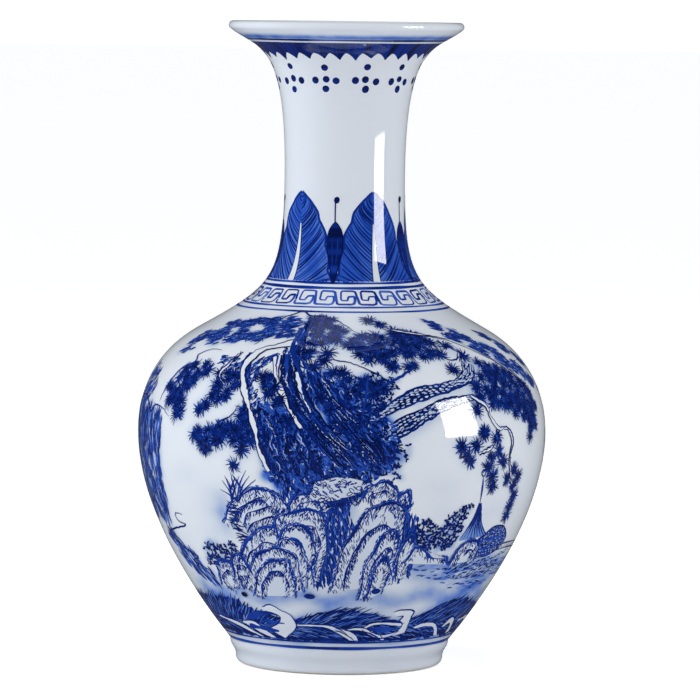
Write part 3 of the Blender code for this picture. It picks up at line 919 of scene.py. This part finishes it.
# The great bough to the right: two rows of scales with a white band of light between them.
upper = ([(10, 147), (16, 152), (24, 157), (32, 161), (39, 164), (44, 168), (46, 174)],
         [(12, 153), (16, 158), (22, 163), (29, 165), (36, 167), (40, 171), (42, 176)])
lower = ([(12, 134), (19, 140), (24, 146), (30, 151), (35, 154), (41, 156)],
         [(12, 142), (17, 148), (24, 153), (30, 157), (36, 158), (41, 159)])
for low, high in (upper, lower):
    blocked_in(boughs, low, high, 0.86, 4)
    for share in (0.12, 0.31, 0.5, 0.69, 0.88):
        first, last = smooth(spots(low), 26), smooth(spots(high), 26)
        row = first * (1 - share) + last * share
        step = np.gradient(row, axis=0) * np.array([0.104, 1.0])
        tilt = np.degrees(np.arctan2(step[:, 1], step[:, 0])) - 6
        row = moved(row, *(0.35 * hand.standard_normal((2, 26))))
        dashes(boughs, row, tilt, 2.5, 0.80, 0.16, 6, 0.3)
    for edge in (low, high):
        line(boughs, edge, 0.9, 0.9, 7, 0.25)
    under_wash(smooth(spots(low), 8), 6.0, 4.0, 0.12)
white_bough(boughs, [(40, 158), (45, 152), (46, 146), (49, 140), (53, 139), (55, 132), (54, 124),
                     (55, 116), (57, 108)], (2.0, 1.0))
white_bough(boughs, [(41, 127), (45, 129), (47, 132)], (1.6, 1.2))
line(boughs, [(33, 184), (36, 178), (40, 177), (43, 181)], 0.8, 0.84, 8, 0.2)
on_both_sides("pine_boughs", boughs)

# Broad leaves: bunches of four short touches among the boughs and on the bushes, and reeds.
hand = np.random.default_rng(45)
leaves = []


def leaf_touches(painting, corners, gap, size=1.7, ink=0.84, coat=8, petals=4):
    """Bunches of short fat touches: from each scattered middle, petals at random turns."""
    middle = np.repeat(scattered(corners, gap), petals, 0)
    angle = hand.uniform(0, 360, len(middle))
    away = size * hand.uniform(0.4, 0.9, len(middle))
    spot = moved(middle, away * np.cos(np.radians(angle)), away * np.sin(np.radians(angle)))
    dashes(painting, spot, angle, 1.15 * size, 0.62 * size, ink, coat, 0.2, 5)


LEAFY = [
    (3.0, [(1, 167), (8, 172), (17, 169), (16, 161), (13, 155), (9, 147), (4, 146), (0, 154)]),
    (3.4, [(13, 134), (19, 133), (20, 128), (17, 122), (18, 114), (14, 113), (11, 122)]),
    (3.2, [(-23, 150), (-14, 148), (-8, 138), (-4, 124), (-12, 116), (-20, 118), (-23, 134)]),
    (3.2, [(-3, 146), (6, 147), (12, 143), (13, 132), (9, 122), (0, 120), (-3, 132)]),
    (2.2, [(18, 83), (22, 84), (25, 92), (28, 90), (31, 85), (33, 92), (38, 99), (42, 98),
           (40, 90), (39, 82), (37, 74), (28, 74), (21, 75)]),
    (2.2, [(-50, 62), (-49, 72), (-44, 77), (-40, 73), (-37, 76), (-33, 73), (-33, 66), (-40, 63)]),
    (3.4, [(20, 75), (27, 76), (27, 70), (22, 69)]),
]
for gap, corners in LEAFY:
    leaf_touches(leaves, corners, gap)
    under_wash(scattered(corners, 4.0), 2.4, 2.4, 0.16)
for tip, swing in (((-35, 111), 1.0), ((-34, 114), 0.5), ((-32, 116), 0.2), ((-30, 112), -0.2),
                   ((-27, 118), -0.6), ((-26, 115), -0.9), ((-24, 113), -1.2), ((-36, 106), 1.0)):
    root = (-31.5 + hand.uniform(-1.5, 1.5), 99.0)
    mid = ((root[0] + tip[0]) / 2 + swing, (root[1] + tip[1]) / 2)
    line(leaves, [root, mid, tip], 0.75, 0.82, 7, 0.1)
    line(leaves, [mid, (mid[0] + 2.0 * np.sign(swing), mid[1] + 7)], 0.55, 0.78, 7, 0.1)
spike_root = spots([(-30.5, 96), (-31, 92), (-31, 88), (-30, 84), (-29, 80), (-28, 77)])
spike_root = moved(np.repeat(spike_root, 7, 0), *(1.5 * hand.standard_normal((2, 42))))
dashes(leaves, moved(spike_root, -3.5, 0.5), 172 + 14 * hand.standard_normal(42), 8.0, 0.7, 0.85, 7)
on_both_sides("broad_leaves", leaves)

# Rocks: arched folds, each outlined with a heavy line and shaded inside by short strokes like
# hemp fibres that run down from the line and die out towards the pale foot.
hand = np.random.default_rng(57)
rocks = []


def rock_fold(painting, points, depth, coat, filled=False, width=1.5, ink=0.76):
    """Fold of rock: an outline through points, and fibres that start just inside it.

    A fold in front hides what is behind it, and casts a band of mid blue beyond its outline. A
    fibre leaves the outline square to it, bends downwards, and gets paler.
    """
    along = 8 * len(points)
    path = smooth(spots(points), along)
    wave = 0.45 * np.sin(np.linspace(0, 3.1 * len(points), along) + hand.uniform(0, 6))
    path = moved(path, wave, wave[::-1])
    flat = path * np.array([radius_at(path[:, 1].mean()), 1.0])
    step = np.gradient(flat, axis=0)
    step /= np.linalg.norm(step, axis=1, keepdims=True)
    inward = np.stack([step[:, 1], -step[:, 0]], -1)
    inward *= np.sign((inward * (flat.mean(0) - flat)).sum(-1).mean())
    if filled:
        middle_row = along // 2
        fill = between(path[:middle_row], path[::-1][:middle_row], np.linspace(0, 1, 12))
        beyond = moved(np.repeat(path, 2, 0), *(-0.9 * np.repeat(inward, 2, 0).T
                                                + 0.4 * hand.standard_normal((2, 2 * along))))
        lean = np.degrees(np.arctan2(step[:, 1], step[:, 0]))
        dashes(painting, beyond, np.repeat(lean, 2), 2.4, 0.65, 0.62, coat)
        lay(painting, fill[None], PALE_ROCK, coat + 0.3)
    swell = width * (0.75 + 0.45 * np.sin(np.linspace(0, 2.3 * len(points), along) + 1))
    brush(painting, path[None], (np.maximum(0.6, swell) * tapered(along, 0.2, 0.0))[None], ink, coat + 1.0)
    length = 1000 * np.linalg.norm(np.diff(flat, axis=0), axis=1).sum()
    for layer in range(max(2, int(depth / 1.5))):
        push = 0.9 + 1.4 * layer
        pick = hand.uniform(0, along - 1.001, int(length / (0.70 + 0.45 * layer)))
        i = pick.astype(int)
        root = path[i] + (pick - i)[:, None] * (path[i + 1] - path[i])
        push = push + hand.uniform(-0.7, 0.7, len(i))
        root = moved(root, push * inward[i, 0], push * inward[i, 1])
        down = step[i] * np.sign(-step[i, 1:] + 1e-9)
        heading = 0.75 * down + 0.55 * inward[i] + np.array([0.0, -0.30])
        angle = np.degrees(np.arctan2(heading[:, 1], heading[:, 0]))
        dashes(painting, root, angle, 2.3, 0.46, ink - 0.03 * layer, coat + 0.7, 0.25)


# Each fold: how deep its shading goes, whether it hides what is behind, and its outline.
FOLDS = [
    (6, False, [(-3, 95), (1, 103), (6, 107), (10, 106), (15, 102)]),
    (5, True, [(16, 104), (19, 108), (20, 101), (18, 97), (17, 101)]),
    (5, True, [(6, 103), (8, 110), (12, 113), (15, 110), (16, 103)]),
    (7, True, [(-15, 99), (-12, 105), (-7, 106), (-3, 101), (-4, 96)]),
    (8, True, [(-37, 87), (-33, 98), (-27, 106), (-22, 108), (-18, 104), (-15, 98), (-17, 89)]),
    (4, False, [(-33, 90), (-31, 95), (-26, 101), (-20, 104)]),
    (4, False, [(-30, 87), (-28, 93), (-23, 97), (-17, 99)]),
    (5, False, [(-29, 83), (-26, 89), (-21, 92), (-17, 92)]),
    (6, True, [(-45, 49), (-39, 58), (-34, 68), (-29, 79), (-25, 84), (-20, 87), (-16, 84),
               (-15, 74), (-16, 60)]),
    (6, True, [(-19, 80), (-19, 90), (-15, 95), (-9, 97), (-5, 93), (-4, 84), (-5, 70), (-7, 57)]),
    (4, True, [(-20, 74), (-17, 86), (-12, 88), (-9, 84), (-8, 74), (-9, 64), (-10, 54)]),
    (4, True, [(-21, 68), (-18, 79), (-14, 80), (-12, 75), (-11, 66), (-12, 53)]),
    (5, True, [(-36, 49), (-31, 62), (-28, 69), (-24, 73), (-19, 74), (-15, 71), (-14, 62), (-14, 50)]),
    (5, True, [(-33, 46), (-29, 58), (-25, 65), (-20, 68), (-17, 66), (-16, 57), (-17, 47)]),
    (4, False, [(-30, 46), (-27, 56), (-23, 61), (-19, 62)]),
    (6, True, [(-3, 50), (-1, 64), (2, 78), (5, 89), (9, 98), (13, 101), (17, 100), (19, 92),
               (19, 80), (19, 68), (20, 56)]),
    (4, False, [(1, 52), (3, 66), (6, 78), (10, 88), (13, 93)]),
    (5, True, [(7, 46), (8, 60), (10, 72), (13, 82), (16, 86), (18, 80), (17, 68), (18, 56)]),
    (4, True, [(10, 46), (11, 58), (13, 68), (15, 70), (16, 62), (15, 50)]),
    (4, True, [(19, 58), (19, 70), (21, 82), (23, 80), (23, 68), (23, 58)]),
    (5, True, [(-47, 50), (-46, 60), (-42, 65), (-38, 62), (-38, 50)]),
    (5, True, [(-39, 56), (-37, 67), (-33, 68), (-32, 58)]),
    (4, True, [(21, 67), (24, 75), (28, 73), (31, 69), (36, 69), (37, 65)]),
    (5, True, [(39, 65), (41, 74), (45, 78), (49, 74), (49, 66)]),
]
for corners in ([(-9, 104), (2, 104), (4, 88), (0, 76), (-3, 56), (-8, 52), (-9, 70), (-7, 88)],
                [(18, 97), (23, 92), (25, 74), (24, 58), (19, 58), (18, 80)],
                [(-18, 106), (-8, 112), (4, 112), (8, 106), (0, 100), (-12, 100)]):
    middle = scattered(corners, 2.2)
    dashes(rocks, middle, -84, 5.0, 1.5, 0.58, 1)
    dashes(rocks, scattered(corners, 2.0), -80, 4.5, 0.8, 0.76, 2)
for number, (depth, filled, fold) in enumerate(FOLDS):
    rock_fold(rocks, fold, depth, 3.0 + 0.9 * number, filled)
    if filled and depth >= 5:
        corners = np.asarray(fold, float)
        foot = 0.5 * corners[[0, -1]].mean(0) + 0.5 * corners.mean(0) - np.array([0, 9.0])
        rock_fold(rocks, foot + (corners - foot) * 0.72, 3, 3.0 + 0.9 * number, width=1.0)
stone = [(-10, 118), (0, 118), (6, 112), (5, 100), (-3, 99), (-10, 104)]
blocked_in(rocks, [(-9, 103), (-2, 103), (5, 107)], [(-7, 113), (0, 116), (6, 114)], 0.10, 25)
bark_loops(rocks, stone, 2.9, 0.0, 3.2, 0.74, 27)
under_wash(spots([(-36, 92), (-28, 88), (-14, 84), (-4, 70), (2, 96), (20, 74)]), 6.0, 9.0, 0.22)
dashes(rocks, spots([(-38, 46), (-11, 47.5), (13, 51)]), 4, 5.4, 3.8, 0.80, 27, 0.0, 9)
on_both_sides("rocks", rocks)

# The far shore: a steep cliff and hills to the left, and to the right a bank with a round
# roofed hall, its tall finial on a pole, a railing, and short strokes for the ground.
hand = np.random.default_rng(69)
shore = []
for gap, lean, corners in (
    (2.3, 88, [(-97, 126), (-93, 138), (-87, 149), (-74, 148), (-61, 144), (-60, 132), (-62, 120),
               (-62, 108), (-62, 98), (-62, 86), (-67, 80), (-74, 88), (-80, 82), (-86, 96), (-93, 110)]),
    (2.2, -60, [(-72, 76), (-66, 78), (-60, 70), (-54, 64), (-58, 61), (-50, 57), (-50, 50),
                (-58, 52), (-66, 60)]),
):
    middle = broken_up(scattered(corners, gap), 12.0, -0.3)
    dashes(shore, middle, lean, 8.0, 0.9, 0.74, 5)
    middle = broken_up(scattered(corners, gap * 1.2), 10.0, -0.6)
    dashes(shore, middle, lean, 8.0, 1.7, 0.48, 3)
    under_wash(scattered(corners, 7.0), 4.0, 6.0, 0.16)
for points, width in (
    ([(-98, 124), (-95, 136), (-90, 144), (-84, 149), (-78, 152), (-73, 149), (-69, 144),
      (-66, 148), (-61, 147), (-57, 143)], 0.9),
    ([(-82, 148), (-84, 138), (-81, 126), (-83, 112), (-80, 98), (-82, 86)], 0.9),
    ([(-92, 140), (-91, 128), (-88, 116), (-89, 104), (-86, 96)], 0.8),
    ([(-72, 146), (-70, 136), (-68, 124), (-67, 110), (-66, 98), (-65, 88)], 1.0),
    ([(-55, 89), (-59, 89), (-59, 85), (-55, 83), (-62, 80), (-69, 77), (-70, 72), (-62, 71)], 0.8),
    ([(-68, 75), (-62, 69), (-55, 65), (-59, 62), (-52, 58), (-50, 54)], 0.9),
):
    line(shore, points, width, 0.84, 7, 0.15)
dashes(shore, scattered([(-82, 170), (-74, 166), (-70, 156), (-76, 148), (-84, 150)], 2.2),
       60, 5.0, 1.4, 0.62, 4)

loop = np.linspace(0, math.tau, 15)
ring_path = moved(spots((43.5, 116)), 1.5 * np.cos(loop), 1.9 * np.sin(loop))
brush(shore, ring_path[None], 0.8, 0.86, 6)
line(shore, [(43.5, 114), (43.8, 107), (44, 98)], 0.9, 0.86, 6, 0.05)
blocked_in(shore, [(43.6, 99), (43, 91), (41.5, 85), (39.5, 78)], [(44.6, 99), (46, 91), (48, 85),
                                                                (52, 80)], 0.34, 4, 5)
for share in np.linspace(0.0, 1.0, 9):
    points = [(43.6 + share, 99), (43 + 3 * share, 91), (41.5 + 6.5 * share, 85),
              (39.5 + 12.5 * share, 79)]
    line(shore, points, 0.75, 0.86, 6, 0.1)
dome = [(47, 77), (50, 80), (54, 84), (59, 84), (63, 80), (65, 75), (62, 70), (55, 67), (48, 69)]
blocked_in(shore, [(46, 75), (50, 69), (56, 67), (62, 70), (65, 75)],
           [(47, 77), (51, 81), (56, 84), (61, 82), (65, 77)], 0.60, 3)
tile = scattered(dome, 2.0)
dashes(shore, tile, 35, 1.9, 0.8, 0.92, 6, 0.5)
dashes(shore, moved(tile, 0.7, 0.7), 35, 1.3, 0.5, 0.12, 6, 0.5)
line(shore, dome + dome[:1], 0.8, 0.88, 7, 0.05)
for height in (72.5, 69.5):
    line(shore, [(60, height), (68, height + 0.5), (76, height), (84, height - 1)], 0.7, 0.86, 6, 0.05)
posts = spots_at(np.arange(61, 84, 2.0), 71.0)
dashes(shore, posts, 90, 3.4, 0.6, 0.86, 6, 0.0)
shore_ground = [(22, 66), (38, 68), (52, 68), (70, 68), (80, 62), (76, 54), (60, 48), (44, 50), (28, 58)]
dashes(shore, scattered(shore_ground, 4.2), 4, 4.2, 0.8, 0.74, 5)
dashes(shore, scattered(shore_ground, 6.5), 4, 9.0, 1.9, 0.24, 2)
mounds = [(38, 62), (46, 65), (58, 65), (68, 62), (66, 56), (52, 55), (40, 57)]
dashes(shore, scattered(mounds, 2.6), 30, 3.0, 0.9, 0.82, 6)
under_wash(scattered(shore_ground, 9.0), 10.0, 4.0, 0.20)
on_both_sides("far_shore", shore)

# Waves: long slanting strokes of broad and fine brushes, with white crests between dark lines.
hand = np.random.default_rng(81)
waves = []
# Turn, height of the water's edge, and slant of the strokes under it, all round the vase.
SWELLS = np.array([(-180, 36, 35), (-150, 42, 70), (-120, 38, 30), (-90, 42, 40), (-65, 45, 74),
                   (-54, 46, 72), (-44, 45, 55), (-36, 38, 40), (-20, 34, 34), (-8, 41, 34),
                   (4, 44, 28), (14, 40, 16), (24, 33, 20), (34, 37, 38), (44, 45, 36),
                   (54, 47, 34), (66, 43, 40), (80, 36, 60), (100, 41, 35), (130, 44, 28),
                   (155, 37, 20), (180, 36, 35)], float)


STROKES_ROUND = 190


def swell_at(turn, column):
    """Height of the painted water's edge, or slant of its strokes, at turns in degrees."""
    return np.interp(np.mod(turn + 180, 360) - 180, SWELLS[:, 0], SWELLS[:, column])


def water(painting, rows, length, width, ink, coat, first, last):
    """Slanting strokes laid in rows round the whole foot of the body, up to the water's edge."""
    for row in range(rows):
        turn = np.arange(STROKES_ROUND) * 360 / STROKES_ROUND
        turn = turn + hand.uniform(-0.9, 0.9, STROKES_ROUND)
        share = (row + hand.uniform(0.1, 0.9, STROKES_ROUND)) / rows
        height = 20.8 + (swell_at(turn, 1) - 22.5) * (first + (last - first) * share)
        slant = np.where(height < 30, -18, swell_at(turn, 2))
        middle = spots_at(turn, height)
        dashes(painting, middle, slant, length * (0.6 + 0.4 * share), width, ink, coat, 0.06, 8)


water(waves, 7, 10.0, 4.2, 0.68, 0, 0.0, 0.84)
water(waves, 12, 11.0, 0.8, 0.90, 2, 0.0, 0.92)
water(waves, 5, 8.0, 0.6, 0.44, 3, 0.1, 0.86)


def crest(painting, low, high, coat=5):
    """White crest between two lines, each drawn dark."""
    blocked_in(painting, low, high, BARE_WHITE, coat, 5, 30)
    line(painting, low, 0.7, 0.84, coat + 2, 0.08)
    line(painting, high, 0.7, 0.84, coat + 2, 0.08)


CRESTS = [
    ([(-66, 29), (-54, 26), (-46, 23), (-40, 20.8)], [(-64, 30), (-51, 28), (-43, 24), (-38, 20.8)]),
    ([(-47, 28), (-44, 26), (-39, 23), (-34, 20.8)], [(-47, 29), (-40, 30), (-36, 26), (-31, 20.8)]),
    ([(-32, 36), (-29, 36), (-25, 34), (-27, 30), (-30, 28), (-33, 26)],
     [(-32, 39), (-28, 41), (-24, 38), (-20, 35), (-19, 28), (-26, 21)]),
    ([(-19, 29), (-13, 29), (-5, 28), (5, 21)], [(-18, 30), (-11, 30.4), (-2, 29.4), (7, 21)]),
    ([(-2, 27), (1, 26), (5, 23), (7, 21)], [(-2, 28), (2, 28), (7, 25), (9, 21)]),
    ([(2, 27), (9, 27), (16, 24), (20, 21)], [(1, 27.6), (9, 29), (17, 25.5), (22, 21)]),
    ([(12, 28.6), (15, 30), (20, 30.2), (28, 29)], [(10, 28.4), (14, 31.6), (20, 32), (29, 30.6)]),
    ([(10, 27.6), (14, 24), (20, 22), (26, 24)], [(12, 28), (16, 25.4), (21, 24.2), (28, 26)]),
    ([(24, 35), (27, 35), (26, 32.5), (28, 30), (27, 26), (25, 23)],
     [(22, 37.5), (25, 39), (31, 38), (31, 34), (31, 30), (31, 25)]),
    ([(36, 27), (41, 27.4), (47, 26), (51, 21)], [(34, 28), (39, 30), (47, 28.6), (54, 21)]),
    ([(55, 26), (58, 27.5), (60, 25), (61, 21)], [(53, 26), (56, 31), (60, 30), (64, 22)]),
    ([(66, 27), (74, 27.5), (82, 22)], [(66, 29), (76, 30), (85, 23)]),
]
ROUND_BACK = np.array([176.0, 0.0])
for low, high in CRESTS:
    crest(waves, low, high)
    crest(waves, low + ROUND_BACK, high + ROUND_BACK)
for points, width in (([(-43, 31), (-37, 34), (-31, 36), (-26, 35)], 3.0),
                      ([(-34, 31), (-30, 30.5), (-24, 30)], 2.2),
                      ([(-44, 27), (-37, 26), (-28, 25)], 3.0),
                      ([(13, 28), (20, 27.4), (27, 27.4)], 3.0)):
    line(waves, points, width, 0.72, 6, 0.1)
    line(waves, points + ROUND_BACK, width, 0.72, 6, 0.1)
turn = np.arange(0, 360, 5.0)
wash_and_shade_dabs(spots_at(turn, swell_at(turn, 1) - 9), 7.0, 7.0, 0.40, 15.0)
wash_and_shade_dabs(spots_at(turn, 26.0), 9.0, 6.0, 0.42)
painted("waves", waves)

# Faint clouds: a grey-blue band under the lip, painted shade for the shadow under its roll with a
# little pooled cobalt in it; washes on the open ground; and where mist lies at the rocks' feet.
# Painted shade: a grey-blue band under the lip's roll, for the shadow its underside falls in.
wash_and_shade_dabs(spots_at(np.arange(0, 360, 6.0), 351.4), 7.0, 2.8, 0.27)
hand = np.random.default_rng(93)
mist = np.arange(-62.0, 76.0, 5.0)
under_wash(spots_at(mist, 46 + 3 * np.sin(mist)), 8.0, 5.5, 0.17)
haze = scattered([(-60, 120), (-30, 112), (-34, 70), (-46, 52), (30, 50), (60, 60), (60, 88),
                  (30, 118), (20, 60), (-40, 50)], 16.0)
under_wash(haze, 12.0, 7.0, 0.035)


# Skins: each section is a closed tube of wall, turned finely on the outline with the washes and
# the painted shade in it, and it covers the slip in its lower or upper seam.
def wash_and_shade_at(turn, run):
    """Cobalt in the wash and painted shade at each turn and run: the dabs' bell curves, added up to a
    limit.
    """
    total = np.zeros(turn.shape)
    radius = radius_at(run)
    for at_turn, at_run, wide, tall, strength, lean in np.concatenate(washes_and_shade):
        rows = np.abs(run[0] - at_run) < 0.003 * max(wide, tall)
        if not rows.any():
            continue
        right = (np.mod(turn[:, rows] - at_turn + math.pi, math.tau) - math.pi) * radius[:, rows]
        up = run[:, rows] - at_run
        along = (right * math.cos(lean) + up * math.sin(lean)) / (wide / 1000)
        over = (up * math.cos(lean) - right * math.sin(lean)) / (tall / 1000)
        total[:, rows] += strength * np.exp(-(along**2 + over**2))
    return 1.0 - np.exp(-total)


def turned(name, strips, material, node_names):
    """Closed skin turned from smooth strips of a profile: columns at even turns, rows along it.

    Rows on the axis are one point.
    """
    rows = np.concatenate([points[:-1] for points, _ in strips])
    here = np.arange(TURN_COLUMNS)
    beyond = (here + 1) % TURN_COLUMNS
    turn = here * math.tau / TURN_COLUMNS
    sizes = np.where(rows[:, 0] < 1e-9, 1, TURN_COLUMNS)
    starts = np.concatenate([[0], np.cumsum(sizes)])
    index = starts[:-1, None] + here % sizes[:, None]
    points = np.empty((starts[-1], 3))
    points[index] = turned_to(rows[:, None], turn)

    lengths = np.linalg.norm(np.diff(np.vstack([rows, rows[:1]]), axis=0), axis=1)
    run = np.concatenate([[0.0], np.cumsum(lengths)])
    corners, facings, maps, counts, first = [], [], [], [], 0
    for points_of, out_of in strips:
        for low in range(len(points_of) - 1):
            a, b = first + low, (first + low + 1) % len(rows)
            if sizes[a] == 1 and sizes[b] == 1:
                continue
            ends = [(a, here), (b, here), (b, beyond), (a, beyond)]
            if sizes[a] == 1 or sizes[b] == 1:
                del ends[3 if sizes[a] == 1 else 2]
            corners.append(np.stack([index[r, c] for r, c in ends], -1).ravel())
            facings.append(np.stack([turned_to(out_of[low + (r != a)], turn[c])
                                     for r, c in ends], 1).reshape(-1, 3))
            maps.append(np.stack([np.stack(np.broadcast_arrays(
                (here + (c is beyond)) / TURN_COLUMNS, run[first + low + (r == b)] / run[-1]), -1)
                for r, c in ends], 1).reshape(-1, 2))
            counts.append(np.full(TURN_COLUMNS, len(ends)))
        first += len(points_of) - 1
    piece = new_piece(name, points, np.concatenate(corners), np.concatenate(counts),
                      np.concatenate(maps), material)
    piece.data.normals_split_custom_set(np.concatenate(facings))
    outer = len(strips[0][0])
    amounts = np.zeros(len(points))
    # The skin's attribute takes the washes and the painted shade under the lip.
    amounts[index[:outer]] = wash_and_shade_at(*np.meshgrid(turn, run_at(rows[:outer, 1]), indexing="ij")).T
    piece.data.attributes.new("wash_and_shade", "FLOAT", "POINT").data.foreach_set("value", amounts)
    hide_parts(*node_names)


def wall_section(name, bottom, top, outer_spacing, node_names):
    """Open tube of wall: outer skin down, bottom end, inner skin up, top end."""
    strips = [outer_strip(top, bottom, outer_spacing), end_strip(bottom, 1),
              inner_strip(bottom, top, 0.008), end_strip(top, -1)]
    turned(name, strips, porcelain, node_names)


belly_run, neck_run = run_at(BELLY_HEIGHT), run_at(NECK_SEAM_HEIGHT)
mouth_run = run_at(MOUTH_SEAM_HEIGHT)
wall_section("shoulder_skin", belly_run, neck_run, 0.0010, ["shoulder", "neck_seam_slip"])
wall_section("neck_skin", neck_run, mouth_run, 0.0011, ["neck", "mouth_seam_slip"])

# Mouth: the flare ends in a round lip that rolls over to the inside of the dish.
lip_angle = math.pi - LIP_FLARE
roll = np.linspace(lip_angle - math.pi, lip_angle, 17)
lip_out = np.stack([np.cos(roll), np.sin(roll)], -1)
lip_strip = (lip_centre + LIP_RADIUS * lip_out, lip_out)
inner_mouth = inner_strip(mouth_run, FULL_RUN, 0.004)
outer_mouth = outer_strip(FULL_RUN, mouth_run, 0.0010)
lip_strip = (np.vstack([inner_mouth[0][-1:], lip_strip[0][::-1][1:-1], outer_mouth[0][:1]]),
             np.vstack([inner_mouth[1][-1:], lip_out[::-1][1:-1], outer_mouth[1][:1]]))
turned("mouth_skin", [outer_mouth, end_strip(mouth_run, 1), inner_mouth, lip_strip],
       porcelain, ["mouth"])

# Lower body: the bowl from the belly down to the foot joint, with the vase's floor in it.
FLOOR_TOP, FLOOR_FLAT_RADIUS, RECESS_DEPTH = 0.0148, 0.040, 0.0086
FOOT_SEAT_RADIUS = FOOT_RADIUS - 0.0052
floor_edge = np.array([FLOOR_FLAT_RADIUS, FLOOR_TOP])
wall_start, wall_out = inner_strip(0.0112, belly_run, 0.008)
up_wall = -right_of(wall_out[:1])[0]
reach = (wall_start[0][0] - floor_edge[0]) / 2
fillet = bent(floor_edge, np.array([reach, 0.0]), wall_start[0], reach / 2 * up_wall, 9)
floor_strip = strip([(0.0, FLOOR_TOP), floor_edge], [(0.0, 1.0), (0.0, 1.0)])
fillet_strip = strip(fillet, -right_of(np.gradient(fillet, axis=0)))
foot_top = np.array([FOOT_RADIUS, FOOT_HEIGHT])
seat = [np.array([FOOT_SEAT_RADIUS, FOOT_HEIGHT]), np.array([FOOT_SEAT_RADIUS, RECESS_DEPTH])]
turned("lower_body_skin", [
    outer_strip(belly_run, 0.0, 0.00105),
    strip([foot_top, seat[0]]), strip(seat), strip([seat[1], (0.0, RECESS_DEPTH)]),
    strip([(0.0, RECESS_DEPTH), (0.0, FLOOR_TOP)]),
    floor_strip, fillet_strip, (wall_start, wall_out), end_strip(belly_run, -1),
], porcelain, ["lower_body", "belly_seam_slip"])

# Foot: a turned ring the vase stands on. The glaze is wiped off its standing edge.
FOOT_TOE_RADIUS, FOOT_BEVEL, FOOT_RING_WIDTH = 0.0582, 0.0036, 0.0078
foot_drop = np.array([0.0, -(FOOT_HEIGHT - FOOT_BEVEL) / 2])
toe_side = bent(foot_top, foot_drop, np.array([FOOT_TOE_RADIUS, FOOT_BEVEL]), foot_drop, 14)
bevel = np.linspace(0.0, -math.pi / 2, 9)
bevel_out = np.stack([np.cos(bevel), np.sin(bevel)], -1)
toe_bevel = np.array([FOOT_TOE_RADIUS - FOOT_BEVEL, FOOT_BEVEL]) + FOOT_BEVEL * bevel_out
inner_edge = toe_bevel[-1] - np.array([FOOT_RING_WIDTH, 0.0])
ledge = np.array([inner_edge[0], RECESS_DEPTH])
turned("foot_ring_skin", [
    strip(toe_side, right_of(-np.gradient(toe_side, axis=0))), (toe_bevel, bevel_out),
    strip([toe_bevel[-1], inner_edge]), strip([inner_edge, ledge]), strip([ledge, seat[1]]),
    strip(seat[::-1]), strip([seat[0], foot_top]),
], glazed_porcelain("foot porcelain", bare_edge=True), ["foot_ring", "foot_seam_slip"])
